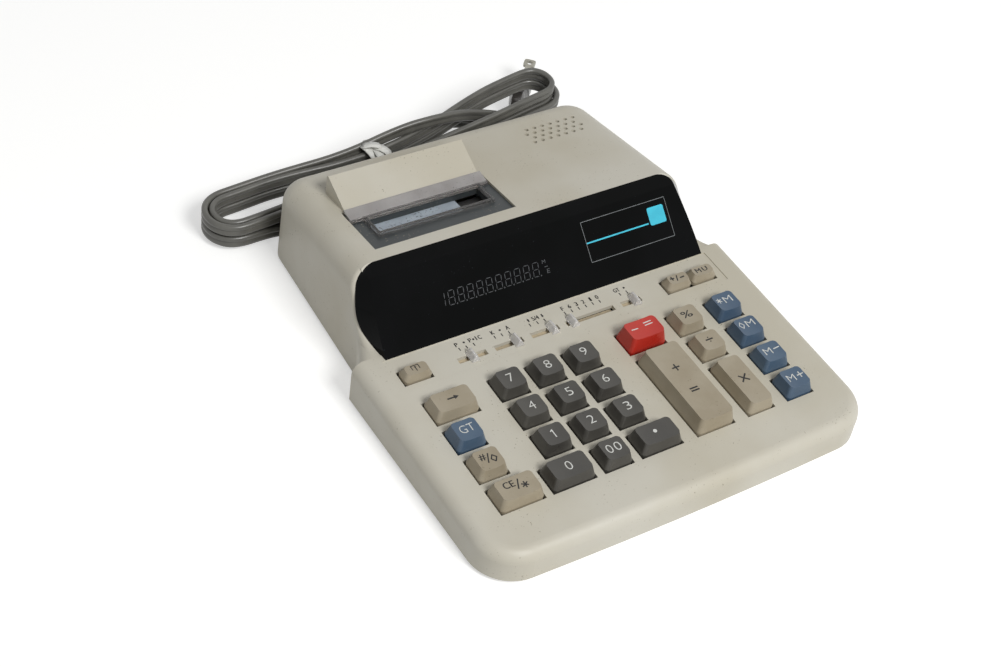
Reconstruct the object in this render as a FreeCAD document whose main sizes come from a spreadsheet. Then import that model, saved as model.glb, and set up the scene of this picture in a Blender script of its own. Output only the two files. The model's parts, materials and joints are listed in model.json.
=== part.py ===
"""Desktop printing adding machine: cream two-part case, 28 keys, display window, strip printer, mains cord.

Frame: X to the user's right, Y to the back, Z up; origin under the middle of the case, on the table.
Depths called *_depth or *_row are measured from the front edge of the case. All sizes in millimetres.
"""
import FreeCAD
import Part

import math
import os
import re
from types import SimpleNamespace

Vector = FreeCAD.Vector

SIZES = [
    # Case
    ("case_width", 205.0),
    ("case_depth", 232.0),
    ("foot_height", 2.0),
    ("seam_height", 5.2),
    ("wall", 2.4),
    ("floor_wall", 2.0),
    ("deck_front_height", 17.6),
    ("deck_tilt", 2.7),
    ("shoulder_depth", 123.0),
    ("deck_corner", 20.0),
    ("front_bow_radius", 2700.0),
    ("deck_edge", 6.0),
    ("display_foot", 119.4),
    ("brow_depth", 152.8),
    ("brow_height", 50.5),
    ("rear_height", 42.2),
    ("shoulder_step", 8.7),
    ("rear_step", 15.0),
    ("house_draft", 2.6),
    ("house_edge", 11.0),
    ("house_corner", 14.0),
    ("toe_length", 21.0),
    ("toe_overlap", 2.0),
    ("toe_wall_share", 1.6),
    ("cheek_inset", 18.0),
    ("cheek_sink", 7.5),
    ("cheek_edge", 2.6),
    ("lip_wall", 1.2),
    ("lip_rise", 2.2),
    ("joint_gap", 0.15),
    # Keys
    ("key_pitch", 19.5),
    ("row_pitch", 17.57),
    ("first_row", 83.75),
    ("small_row", 107.0),
    ("key_width", 14.6),
    ("key_depth", 13.2),
    ("small_key_width", 14.0),
    ("small_key_depth", 7.9),
    ("wide_extra", 7.0),
    ("adder_width", 20.4),
    ("key_inset", 1.6),
    ("key_end_inset", 1.3),
    ("key_lip", 0.8),
    ("key_rise", 6.2),
    ("tall_key_rise", 8.0),
    ("small_key_rise", 4.2),
    ("key_skirt", 1.2),
    ("key_corner", 2.2),
    ("dish_dip", 0.6),
    ("key_gap", 0.5),
    ("stem_side", 4.0),
    ("stem_gap", 0.06),
    ("stem_drop", 7.6),
    ("catch_gap", 0.06),
    ("catch_side", 4.9),
    ("catch_rise", 0.9),
    ("post_reach", 16.0),
    ("left_edge", -85.8),
    ("digit_column", -45.5),
    ("adder_column", 26.3),
    ("operator_column", 51.9),
    ("memory_column", 74.5),
    ("feed_column", -79.8),
    ("sign_column", 63.4),
    ("markup_column", 77.9),
    # Keyboard stack, below the deck's top face
    ("guide_drop", 4.6),
    ("guide_wall", 1.4),
    ("guide_rim", 2.0),
    ("guide_margin", 3.6),
    ("pad_drop", 10.7),
    ("sheet_wall", 0.8),
    ("well_radius", 4.4),
    ("well_wall", 0.7),
    ("well_rise", 2.6),
    ("board_wall", 1.6),
    # Slide switches
    ("switch_row", 106.2),
    ("switch_pitch", 4.0),
    ("switch_slot_width", 3.2),
    ("switch_slot_spare", 3.5),
    ("knob_width", 4.6),
    ("knob_depth", 7.6),
    ("knob_rise", 2.8),
    ("knob_foot", 2.4),
    ("knob_drop", 8.2),
    ("knob_lift", 0.1),
    ("knob_step", 0.9),
    ("switch_body_wall", 1.6),
    ("print_switch", -50.6),
    ("item_switch", -27.3),
    ("round_switch", -7.8),
    ("decimal_switch", 3.4),
    ("total_switch", 38.7),
    ("switch_panel_drop", 0.4),
    ("switch_panel_front", 99.8),
    ("switch_panel_half", 89.5),
    # Display
    ("pane_brow_depth", 144.9),
    ("pane_brow_height", 48.3),
    ("window_reach", 3.3),
    ("window_front_foot_inset", 15.2),
    ("window_front_brow_inset", 19.4),
    ("window_back_foot_inset", 13.6),
    ("window_back_brow_inset", 8.5),
    ("window_corner", 8.0),
    ("window_ridge", 2.5),
    ("window_wall", 2.4),
    ("opening_half", 80.0),
    ("opening_low", 6.0),
    ("opening_high", 36.0),
    ("tube_width", 84.0),
    ("tube_height", 19.0),
    ("tube_depth", 7.0),
    ("tube_setback", 5.6),
    ("tube_rise", 7.0),
    ("tube_centre", -26.0),
    ("tube_tip_radius", 2.0),
    ("tube_tip_length", 5.0),
    ("logic_board_half", 75.0),
    ("logic_board_low", -9.0),
    ("logic_board_high", 28.0),
    ("logic_chip_width", 36.0),
    ("logic_chip_height", 12.0),
    ("logic_chip_wall", 4.0),
    ("logic_rest_half", 60.0),
    ("logic_rest_wall", 3.0),
    ("logic_rest_height", 13.0),
    # Printer
    ("printer_inset", 30.0),
    ("printer_width", 75.0),
    ("printer_front", 160.4),
    ("printer_back", 192.0),
    ("cover_drop", 1.2),
    ("cover_wall", 2.0),
    ("cover_flange", 3.0),
    ("cover_gap", 0.2),
    ("rim_left_margin", 6.9),
    ("rim_right_margin", 5.7),
    ("rim_front", 169.5),
    ("rim_back", 184.5),
    ("rim_wall", 1.6),
    ("rim_rise", 1.8),
    ("tear_reach", 7.2),
    ("tear_tilt", 13.0),
    ("tear_wall", 1.2),
    ("tear_gap", 0.8),
    ("hood_inset", 1.6),
    ("hood_back", 209.8),
    ("hood_ridge", 208.6),
    ("hood_ridge_height", 55.2),
    ("hood_front_rise", 0.8),
    ("hood_wall", 1.8),
    ("inlet_margin", 4.0),
    ("inlet_front", 198.5),
    ("inlet_depth", 7.0),
    ("frame_margin", 4.5),
    ("frame_front", 161.5),
    ("frame_back", 197.0),
    ("frame_wall", 2.0),
    ("frame_floor", 9.0),
    ("frame_top", 41.0),
    ("frame_foot_radius", 3.0),
    ("guide_plate_drop", 4.6),
    ("guide_plate_wall", 1.2),
    ("guide_plate_width", 55.5),
    ("guide_front", 170.6),
    ("guide_slit_front", 175.7),
    ("guide_slit_back", 176.6),
    ("guide_back", 184.0),
    ("platen_radius", 4.6),
    ("platen_left_margin", 2.5),
    ("platen_right_margin", 3.5),
    ("platen_row", 181.0),
    ("platen_height", 36.0),
    ("shaft_radius", 1.5),
    ("shaft_gap", 0.05),
    ("gear_space", 1.6),
    ("gear_wall", 3.0),
    ("gear_module", 0.75),
    ("platen_teeth", 12),
    ("drive_teeth", 24),
    ("motor_row", 186.0),
    ("motor_radius", 8.2),
    ("motor_length", 24.0),
    ("motor_shaft_radius", 1.0),
    ("carriage_margin", 10.5),
    ("carriage_width", 9.0),
    ("carriage_cheek", 1.4),
    ("carriage_front", 162.3),
    ("carriage_back", 175.4),
    ("carriage_low", 26.5),
    ("carriage_top", 40.3),
    ("carriage_pocket_low", 31.4),
    ("carriage_pocket_front", 163.1),
    ("rail_radius", 1.2),
    ("rail_height", 29.0),
    ("rail_front", 166.0),
    ("rail_back", 172.0),
    ("type_radius", 4.0),
    ("type_gap", 0.5),
    ("ink_radius", 2.2),
    ("ink_gap", 0.1),
    ("pin_radius", 0.8),
    ("roller_gap", 0.2),
    # Vents and power
    ("vent_side", 61.1),
    ("vent_rear", 28.8),
    ("vent_pitch", 4.6),
    ("vent_row_pitch", 3.7),
    ("vent_radius", 1.1),
    ("vent_columns", 7),
    ("vent_rows", 4),
    ("transformer_width", 44.0),
    ("transformer_depth", 36.0),
    ("transformer_height", 33.0),
    ("transformer_core", 20.0),
    ("transformer_coil", 28.0),
    ("transformer_foot", 1.5),
    ("transformer_side", 44.5),
    ("transformer_rear", 48.0),
    ("power_rear", 36.0),
    ("power_height", 20.0),
    ("power_travel", 5.0),
    ("power_slot_length", 11.0),
    ("power_slot_width", 3.4),
    ("power_foot", 2.6),
    ("power_grip", 8.0),
    ("power_grip_height", 6.0),
    ("power_grip_rise", 2.0),
    ("power_gap", 0.6),
    ("power_flange", 5.2),
    # Fixings
    ("foot_radius", 6.0),
    ("foot_press", 0.4),
    ("boss_radius", 3.6),
    ("boss_rise", 4.0),
    ("front_boss_side", 16.5),
    ("front_boss_depth", 13.0),
    ("rear_boss_side", 28.5),
    ("rear_boss_rear", 12.0),
    ("screw_radius", 1.4),
    ("screw_gap", 0.2),
    ("screw_head_radius", 2.6),
    ("screw_head_wall", 1.8),
    ("screw_grip", 7.0),
    ("foot_front_side", 18.5),
    ("foot_rear_side", 30.5),
    ("foot_front_depth", 30.0),
    ("foot_rear_rear", 27.0),
    # Cord
    ("cord_radius", 3.0),
    ("gland_column", 50.0),
    ("gland_height", 11.0),
    ("gland_radius", 4.6),
    ("gland_flange_radius", 6.4),
    ("gland_flange_wall", 1.6),
    ("boot_length", 20),
    ("boot_wall", 0.9),
    ("hank_column", -11.0),
    ("hank_row", 259.0),
    ("hank_height", 13.8),
    ("hank_yaw", 2.0),
    ("hank_tilt", 5.5),
    ("hank_turn_column", 84.8),
    ("hank_outer_half", 19.2),
    ("hank_inner_half", 12.7),
    ("hank_waist_inner", 3.7),
    ("hank_waist_outer", 11.1),
    ("hank_layer", 7.4),
    ("hank_crossing", 15.2),
    ("tie_width", 4.0),
    ("tie_wall", 0.8),
    ("tie_gap", 0.35),
    ("tie_ear_length", 11.0),
    ("tie_ear_radius", 1.1),
    ("tie_knot_radius", 1.6),
    ("tie_knot_length", 5.0),
    # Plug
    ("plug_column", 82.5),
    ("plug_row", 275.6),
    ("plug_yaw", 45.0),
    ("plug_length", 28.0),
    ("plug_height", 18.0),
    ("plug_wall", 13.0),
    ("blade_pitch", 12.7),
    ("blade_length", 17.0),
    ("blade_width", 6.35),
    ("blade_wall", 1.5),
    ("blade_hole_radius", 1.6),
]
VALUES = dict(SIZES)
S = SimpleNamespace(**VALUES)

# Places that follow from the sizes: across from the middle of the case, or in depth from its front edge

SIDE = S.case_width / 2
S.printer_left = S.printer_inset - SIDE
S.printer_right = S.printer_left + S.printer_width
S.rim_left = S.printer_left + S.rim_left_margin
S.rim_right = S.printer_right - S.rim_right_margin
S.frame_left = S.printer_left - S.frame_margin
S.frame_right = S.printer_right + S.frame_margin
S.guide_plate_right = S.printer_left + S.guide_plate_width
S.platen_left = S.printer_left + S.platen_left_margin
S.platen_right = S.printer_right - S.platen_right_margin
S.gear_column = S.frame_right + S.gear_space
S.carriage_right = S.printer_right - S.carriage_margin
S.vent_left = SIDE - S.vent_side
S.vent_front = S.case_depth - S.vent_rear
S.power_row = S.case_depth - S.power_rear
S.front_boss_half = SIDE - S.front_boss_side
S.rear_boss_half = SIDE - S.rear_boss_side
S.rear_boss_depth = S.case_depth - S.rear_boss_rear
S.foot_front_half = SIDE - S.foot_front_side
S.foot_rear_half = SIDE - S.foot_rear_side
S.foot_rear_depth = S.case_depth - S.foot_rear_rear

doc = FreeCAD.newDocument("AddingMachine")
sheet = doc.addObject("Spreadsheet::Sheet", "Sizes")
for row, (alias, value) in enumerate(SIZES, start=1):
    sheet.set(f"A{row}", alias)
    sheet.set(f"B{row}", str(value))
    sheet.setAlias(f"B{row}", alias)
doc.recompute()

WORD = re.compile(r"[a-z][a-z_]*")
parts = []


def bind(feature, **formulas):
    """Tie properties to the sheet: every word that names a size there is looked up in it."""
    for prop, formula in formulas.items():
        text = WORD.sub(lambda m: f"Sizes.{m.group()}" if m.group() in VALUES else m.group(), formula)
        feature.setExpression(prop.replace("__", "."), text)


def keep(feature, name):
    """Give a finished sub-part its name and list it for export."""
    feature.Label = name
    parts.append(feature)
    return feature


def computed(name, shape):
    """A sub-part whose shape is worked out here from the sheet's sizes."""
    feature = doc.addObject("Part::Feature", name)
    feature.Shape = shape
    return keep(feature, name)


def new_body(name):
    return keep(doc.addObject("PartDesign::Body", name), name)


def block(body, kind, name, low, size):
    """A box feature in a body: the formulas give its low corner and its size."""
    feature = body.newObject(f"PartDesign::{kind}Box", name)
    bind(feature, Placement__Base__x=low[0], Placement__Base__y=low[1], Placement__Base__z=low[2],
         Length=size[0], Width=size[1], Height=size[2])
    return feature


def rod(body, kind, name, base, radius, length, axis="z"):
    """A cylinder feature in a body, along one of the three axes."""
    feature = body.newObject(f"PartDesign::{kind}Cylinder", name)
    if axis == "x":
        feature.Placement.Rotation = FreeCAD.Rotation(Vector(0, 1, 0), 90)
    if axis == "y":
        feature.Placement.Rotation = FreeCAD.Rotation(Vector(1, 0, 0), -90)
    bind(feature, Placement__Base__x=base[0], Placement__Base__y=base[1], Placement__Base__z=base[2],
         Radius=radius, Height=length)
    return feature


def on_deck(feature, column, row):
    """Stand a sub-part on the deck: its own Z is then square to the deck's face."""
    feature.Placement.Rotation = FreeCAD.Rotation(Vector(1, 0, 0), S.deck_tilt)
    bind(feature, Placement__Base__x=column, Placement__Base__y=f"{row} - case_depth / 2",
         Placement__Base__z=f"deck_front_height + ({row}) * tan(deck_tilt)",
         Placement__Rotation__Angle="deck_tilt")
    return feature


def check_state():
    for feature in doc.Objects:
        if "Invalid" in feature.State or "Error" in feature.State:
            raise RuntimeError(f"{feature.Name} failed: {feature.State}")


# The outer and inner forms of the case


def back(depth):
    """A depth from the case's front edge as a Y in the part's frame."""
    return depth - S.case_depth / 2


def deck_height(depth):
    return S.deck_front_height + depth * math.tan(math.radians(S.deck_tilt))


def top_height(depth):
    """The rear housing's top face, which falls from the brow to the rear wall."""
    share = (depth - S.brow_depth) / (S.case_depth - S.brow_depth)
    return S.brow_height + share * (S.rear_height - S.brow_height)


def house_half(depth):
    """The rear housing's half width at its foot, which narrows to the rear wall."""
    share = (depth - S.shoulder_depth) / (S.case_depth - S.shoulder_depth)
    return S.case_width / 2 - S.shoulder_step - share * (S.rear_step - S.shoulder_step)


FACE_RUN = Vector(0, S.brow_depth - S.display_foot, S.brow_height - deck_height(S.display_foot))
FACE_LENGTH = FACE_RUN.Length
FACE_RUN.normalize()
FACE_NORMAL = Vector(0, -FACE_RUN.z, FACE_RUN.y)
FACE_FOOT = Vector(0, back(S.display_foot), deck_height(S.display_foot))
TOP_TILT = math.atan2(S.brow_height - S.rear_height, S.case_depth - S.brow_depth)


def outline_face(points, height):
    """A flat face at one height through plan points; a triple of points is an arc."""
    edges = []
    for run in points:
        places = [Vector(x, y, height) for x, y in run]
        edges.append(Part.LineSegment(*places) if len(places) == 2 else Part.Arc(*places))
    return Part.Face(Part.Wire([edge.toShape() for edge in edges]))


def deck_face(inset, height):
    """The deck's plan: bowed front edge, round front corners and a straight shoulder at the back."""
    half = S.case_width / 2
    bow, corner = S.front_bow_radius, S.deck_corner
    bow_y = back(0) + bow
    corner_x = half - corner
    corner_y = bow_y - math.sqrt((bow - corner) ** 2 - corner_x ** 2)
    lean = math.atan2(corner_x, bow_y - corner_y)
    reach = corner - inset
    low = Vector(corner_x + reach * math.sin(lean), corner_y - reach * math.cos(lean), 0)
    swing = (math.pi / 2 + lean) / 2
    mid = Vector(corner_x + reach * math.sin(swing), corner_y - reach * math.cos(swing), 0)
    side = half - inset
    rear = back(S.shoulder_depth) - inset
    runs = [
        ((-low.x, low.y), (0, back(0) + inset), (low.x, low.y)),
        ((low.x, low.y), (mid.x, mid.y), (side, corner_y)),
        ((side, corner_y), (side, rear)),
        ((side, rear), (-side, rear)),
        ((-side, rear), (-side, corner_y)),
        ((-side, corner_y), (-mid.x, mid.y), (-low.x, low.y)),
    ]
    return outline_face(runs, height)


def profile_prism(points, half):
    """A prism right across the case from a side profile of (depth, height) points."""
    wire = Part.makePolygon([Vector(-half, back(y), z) for y, z in points + points[:1]])
    return Part.Face(wire).extrude(Vector(2 * half, 0, 0))


def round_edges(shape, radius, wanted):
    """Fillet the edges whose middle point the test picks."""
    edges = [edge for edge in shape.Edges if wanted(edge.valueAt(
        (edge.FirstParameter + edge.LastParameter) / 2), edge)]
    return shape.makeFillet(radius, edges)


def deck_form(inset, base):
    """The keyboard deck as a solid, from a base height up to its sloping face less the inset."""
    tall = deck_face(inset, base).extrude(Vector(0, 0, S.brow_height))
    drop = inset / math.cos(math.radians(S.deck_tilt))
    reach = S.case_depth
    under = profile_prism([(-reach, base), (reach, base), (reach, deck_height(reach) - drop),
                           (-reach, deck_height(-reach) - drop)], S.case_width)
    form = tall.common(under)
    edge_radius = S.deck_edge - inset

    def on_top_rim(middle, edge):
        surface = deck_height(middle.y - back(0)) - drop
        behind = middle.y > back(S.shoulder_depth) - inset - 0.01
        return abs(middle.z - surface) < 0.05 and not behind
    return round_edges(form, edge_radius, on_top_rim)


def inner_brow(inset):
    """Where the brow face and the top meet when both are drawn in by an inset."""
    drop = inset / FACE_RUN.y - inset / math.cos(TOP_TILT)
    return S.brow_depth + drop / (FACE_RUN.z / FACE_RUN.y + math.tan(TOP_TILT))


def house_profile(inset, base):
    """The rear housing's side profile right across the case: rear wall, sloping top and brow face."""
    front, rear, brow = S.display_foot - 2 * S.wall, S.case_depth - inset, inner_brow(inset)
    top_drop = inset / math.cos(TOP_TILT)
    brow_level = top_height(brow) - top_drop
    foot_level = brow_level - (brow - front) * FACE_RUN.z / FACE_RUN.y
    return profile_prism([(front, base), (rear, base), (rear, top_height(rear) - top_drop),
                          (brow, brow_level), (front, foot_level)], S.case_width)


def house_form(inset, base):
    """The rear housing as a solid: tapered in plan, drafted sides, sloping brow face and top."""
    front = S.display_foot - 2 * S.wall
    rear = S.case_depth - inset
    level = S.brow_height + S.wall
    pull = (level - base) * math.tan(math.radians(S.house_draft))

    def ring(height, shrink):
        right = [Vector(house_half(depth) - inset - shrink, back(depth), height) for depth in (front, rear)]
        left = [Vector(-place.x, place.y, height) for place in reversed(right)]
        return Part.makePolygon(right + left + right[:1])
    prism = Part.makeLoft([ring(base, 0), ring(level, pull)], True, True)
    top_drop = inset / math.cos(TOP_TILT)
    brow = inner_brow(inset)
    form = prism.common(house_profile(inset, base))
    rear_half = house_half(rear) / 2

    def upright_corner(middle, edge):
        return abs(middle.y - back(rear)) < 0.05 and abs(middle.x) > rear_half and edge.Length > S.seam_height \
            and abs(edge.tangentAt(edge.FirstParameter).z) > 0.9
    form = round_edges(form, S.house_corner - inset, upright_corner)

    def top_rim(middle, edge):
        surface = top_height(middle.y + S.case_depth / 2) - top_drop
        return abs(middle.z - surface) < 0.05 and middle.y > back(brow) + 0.5
    return round_edges(form, S.house_edge - inset, top_rim)


def face_point(half, rise, depth=0.0):
    """A place on the sloping brow face: half width, distance up the slope, depth behind the face."""
    return Vector(half, 0, 0) + FACE_FOOT + FACE_RUN * rise - FACE_NORMAL * depth


def cheek_cutter(inset):
    """What is cut off in front of a cheek: its edge sinks behind the brow face in a long hollow curve."""
    marks = [(0.0, 0.0), (0.2, 0.76), (0.4, 1.0), (0.75, 0.46), (1.0, 0.0)]
    inner = SIDE - S.cheek_inset - inset
    hollow_curve = Part.BSplineCurve()
    hollow_curve.interpolate([face_point(inner, rise * FACE_LENGTH, sink * S.cheek_sink + inset)
                              for rise, sink in marks])
    low, high = hollow_curve.StartPoint, hollow_curve.EndPoint
    ahead = FACE_NORMAL * S.brow_height
    front = Vector(0, -S.toe_length, -S.toe_length * math.tan(math.radians(S.deck_tilt)))
    edges = [hollow_curve.toShape(), Part.makeLine(high, high + ahead),
             Part.makeLine(high + ahead, low + front + ahead), Part.makeLine(low + front + ahead, low + front),
             Part.makeLine(low + front, low)]
    right = Part.Face(Part.Wire(edges)).extrude(Vector(S.case_width, 0, 0))
    return right.fuse(right.mirror(Vector(), Vector(1, 0, 0)))


def toe_form(inset, base):
    """The toes: beside the display the case's sides sweep in from the deck's width to the housing's."""
    rear = S.shoulder_depth + S.toe_length - S.toe_overlap
    front = S.shoulder_depth - S.toe_overlap
    lean = (deck_height(rear) - S.foot_height) * math.tan(math.radians(S.house_draft))
    narrow = house_half(rear) - inset - lean
    curve = Part.BezierCurve()
    curve.setPoles([Vector(SIDE - S.toe_wall_share * inset, back(front), base),
                    Vector(narrow, back((front + rear) / 2 - inset), base),
                    Vector(narrow, back(rear), base)])
    inner = Vector(0, back(rear), base), Vector(0, back(front), base)
    edges = [curve.toShape(), Part.makeLine(curve.EndPoint, inner[0]), Part.makeLine(*inner),
             Part.makeLine(inner[1], curve.StartPoint)]
    right = Part.Face(Part.Wire(edges)).extrude(Vector(0, 0, S.brow_height - base))
    both = right.fuse(right.mirror(Vector(), Vector(1, 0, 0)))
    return both.common(house_profile(inset, base))


def slab(low, high):
    """Everything between two heights."""
    reach = S.case_width + S.case_depth
    return Part.makeBox(2 * reach, 2 * reach, high - low, Vector(-reach, -reach, low))


def tilted_box(low, size, base, tilt):
    """A box in a frame turned about X by the tilt in radians and set at a base place."""
    box = Part.makeBox(*size, Vector(*low))
    box.Placement = FreeCAD.Placement(base, FreeCAD.Rotation(Vector(1, 0, 0), math.degrees(tilt)))
    return box


def deck_box(column, row, width, depth, low, high):
    """A box square to the deck, between two heights measured from the deck's face."""
    return tilted_box((-width / 2, -depth / 2, low), (width, depth, high - low),
                      Vector(column, back(row), deck_height(row)), math.radians(S.deck_tilt))


def top_box(left, right, front, rear, low, high):
    """A box square to the rear housing's top, between two heights measured from that face."""
    return tilted_box((left, 0, low), (right - left, (rear - front) / math.cos(TOP_TILT), high - low),
                      Vector(0, back(front), top_height(front)), -TOP_TILT)


# Keys

KEYS = [
    # name, column, rows down from the top row (none: the small row), width, depth, rise
    ("key_shift", "left_edge + (key_width + wide_extra) / 2", 0, "wide", "one", "key_rise"),
    ("key_grand_total", "left_edge + key_width / 2", 1, "key", "one", "key_rise"),
    ("key_subtotal", "left_edge + key_width / 2", 2, "key", "one", "key_rise"),
    ("key_clear_total", "left_edge + (key_width + wide_extra) / 2", 3, "wide", "one", "key_rise"),
    ("key_7", "digit_column", 0, "key", "one", "key_rise"),
    ("key_4", "digit_column", 1, "key", "one", "key_rise"),
    ("key_1", "digit_column", 2, "key", "one", "key_rise"),
    ("key_0", "digit_column - wide_extra / 2", 3, "wide", "one", "key_rise"),
    ("key_8", "digit_column + key_pitch", 0, "key", "one", "key_rise"),
    ("key_5", "digit_column + key_pitch", 1, "key", "one", "key_rise"),
    ("key_2", "digit_column + key_pitch", 2, "key", "one", "key_rise"),
    ("key_00", "digit_column + key_pitch", 3, "key", "one", "key_rise"),
    ("key_9", "digit_column + 2 * key_pitch", 0, "key", "one", "key_rise"),
    ("key_6", "digit_column + 2 * key_pitch", 1, "key", "one", "key_rise"),
    ("key_3", "digit_column + 2 * key_pitch", 2, "key", "one", "key_rise"),
    ("key_point", "digit_column + 2 * key_pitch + wide_extra / 2", 3, "wide", "one", "key_rise"),
    ("key_minus_equals", "adder_column", 0, "adder", "one", "tall_key_rise"),
    ("key_plus_equals", "adder_column", 2, "adder", "three", "tall_key_rise"),
    ("key_percent", "operator_column", 0, "key", "one", "key_rise"),
    ("key_divide", "operator_column", 1, "key", "one", "key_rise"),
    ("key_multiply", "operator_column", 2.5, "key", "two", "key_rise"),
    ("key_memory_total", "memory_column", 0, "key", "one", "key_rise"),
    ("key_memory_subtotal", "memory_column", 1, "key", "one", "key_rise"),
    ("key_memory_minus", "memory_column", 2, "key", "one", "key_rise"),
    ("key_memory_plus", "memory_column", 3, "key", "one", "key_rise"),
    ("key_paper_feed", "feed_column", None, "small", "small", "small_key_rise"),
    ("key_sign_change", "sign_column", None, "small", "small", "small_key_rise"),
    ("key_mark_up", "markup_column", None, "small", "small", "small_key_rise"),
]
WIDTHS = {"small": "small_key_width", "key": "key_width", "wide": "(key_width + wide_extra)",
          "adder": "adder_width"}
DEPTHS = {"small": "small_key_depth", "one": "key_depth", "two": "(key_depth + row_pitch)",
          "three": "(key_depth + 2 * row_pitch)"}


def round_uprights(cap, name, low):
    """Fillet the upright corners that start at a height of the key, in its own frame."""
    doc.recompute()
    base = cap.Tip
    uprights = []
    for index, edge in enumerate(base.Shape.Edges, start=1):
        levels = sorted(vertex.Z for vertex in edge.Vertexes)
        if abs(levels[0] - low) < 0.01 and levels[-1] - levels[0] > S.key_lip / 2:
            uprights.append(f"Edge{index}")
    fillet = cap.newObject("PartDesign::Fillet", name)
    fillet.Base = (base, uprights)
    bind(fillet, Radius="key_corner")


def key_cap(name, column, down, width_kind, depth_kind, rise):
    """One key: skirt, tapered cap with a dished top, square stem through the guide, catch under it."""
    row = "small_row" if down is None else f"first_row - {down} * row_pitch"
    width, depth = WIDTHS[width_kind], DEPTHS[depth_kind]
    cap = new_body(name)
    block(cap, "Additive", name + "_skirt", (f"-{width} / 2", f"-{depth} / 2", "-key_skirt"),
          (width, depth, "key_skirt + key_lip"))
    round_uprights(cap, name + "_skirt_round", -S.key_skirt)
    wedge = cap.newObject("PartDesign::AdditiveWedge", name + "_cap")
    wedge.Placement.Rotation = FreeCAD.Rotation(Vector(1, 0, 0), 90)
    bind(wedge, Xmin=f"-{width} / 2", Xmax=f"{width} / 2", X2min=f"key_inset - {width} / 2",
         X2max=f"{width} / 2 - key_inset", Ymin="key_lip", Ymax=rise, Zmin=f"-{depth} / 2",
         Zmax=f"{depth} / 2", Z2min=f"key_end_inset - {depth} / 2", Z2max=f"{depth} / 2 - key_end_inset")
    round_uprights(cap, name + "_cap_round", S.key_lip)
    half = f"({width} / 2 - key_inset)"
    dish = rod(cap, "Subtractive", name + "_dish", ("0", f"-{depth}", "0"),
               f"({half} ^ 2 + dish_dip ^ 2) / (2 * dish_dip)", f"2 * {depth}", "y")
    bind(dish, Placement__Base__z=f"{rise} - dish_dip + ({half} ^ 2 + dish_dip ^ 2) / (2 * dish_dip)")
    block(cap, "Additive", name + "_stem", ("-stem_side / 2", "-stem_side / 2", "-stem_drop"),
          ("stem_side", "stem_side", "stem_drop - key_skirt"))
    catch_low = "guide_drop + guide_wall + catch_gap + catch_rise"
    block(cap, "Additive", name + "_catch", ("-catch_side / 2", "-catch_side / 2", f"-({catch_low})"),
          ("catch_side", "catch_side", "catch_rise"))
    if depth_kind == "three":
        for side in ("-1", "1"):
            block(cap, "Additive", f"{name}_post_{'a' if side == '1' else 'b'}",
                  ("-stem_side / 2", f"{side} * post_reach - stem_side / 2", "-stem_drop"),
                  ("stem_side", "stem_side", "stem_drop - key_skirt"))
    return on_deck(cap, column, row)


caps = [key_cap(*entry) for entry in KEYS]
doc.recompute()
check_state()


def cap_place(cap):
    """A key's column and depth on the case, and its base width and depth, as the sheet makes them."""
    skirt = cap.Group[0]
    base = cap.Placement.Base
    return base.x, base.y + S.case_depth / 2, float(skirt.Length), float(skirt.Width)


CAP_PLACES = [cap_place(cap) for cap in caps]
POSTS = [(x, y + side * S.post_reach) for x, y, wide, deep in CAP_PLACES if deep > 2 * S.row_pitch
         for side in (-1, 1)]
KEY_GAP_HOLES = [deck_box(x, y, wide + 2 * S.key_gap, deep + 2 * S.key_gap, -2 * S.wall, S.wall)
                 for x, y, wide, deep in CAP_PLACES]

# Slide switches: name, column of the knob at rest, and its first and last place in ticks from there

SWITCHES = [
    ("switch_knob_print", S.print_switch, -1, 1),
    ("switch_knob_item", S.item_switch, -2, 0),
    ("switch_knob_round", S.round_switch, -2, 0),
    ("switch_knob_decimal", S.decimal_switch, 0, 5),
    ("switch_knob_total", S.total_switch, -1, 0),
]
SWITCH_COLUMNS = {"switch_knob_print": "print_switch", "switch_knob_item": "item_switch",
                  "switch_knob_round": "round_switch", "switch_knob_decimal": "decimal_switch",
                  "switch_knob_total": "total_switch"}


def switch_run(rest, first, last, spare):
    """Middle and length of the slot that a knob's foot runs in."""
    low = rest + first * S.switch_pitch - spare
    high = rest + last * S.switch_pitch + spare
    return (low + high) / 2, high - low


def knob(name):
    """A slide-switch knob: ribbed grip over a square foot that drops into the switch."""
    body = new_body(name)
    floor = "-switch_panel_drop"
    block(body, "Additive", name + "_foot", ("-knob_foot / 2", "-knob_foot / 2", "-knob_drop"),
          ("knob_foot", "knob_foot", f"knob_drop + {floor} + knob_lift + knob_rise / 2"))
    block(body, "Additive", name + "_base", ("-knob_width / 2", "-knob_depth / 2", f"{floor} + knob_lift"),
          ("knob_width", "knob_depth", "knob_rise / 2"))
    block(body, "Additive", name + "_grip", ("-knob_width / 2 + knob_step", "-knob_depth / 2 + knob_step",
                                            f"{floor} + knob_lift"),
          ("knob_width - 2 * knob_step", "knob_depth - 2 * knob_step", "knob_rise"))
    return on_deck(body, SWITCH_COLUMNS[name], "switch_row")


for name, rest, first, last in SWITCHES:
    knob(name)

# Case


def case_form(inset, base):
    """The whole case drawn in by an inset: deck, and rear housing with its toes and cheeks."""
    cutter = cheek_cutter(inset)
    house, toes = house_form(inset, base).cut(cutter), toe_form(inset, base).cut(cutter)
    if inset == 0.0:
        house = round_edges(house, S.cheek_edge, on_cheek_edge)
        toes = round_edges(toes, S.deck_edge, on_cheek_edge)
    return deck_form(inset, base).fuse([house, toes])


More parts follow.
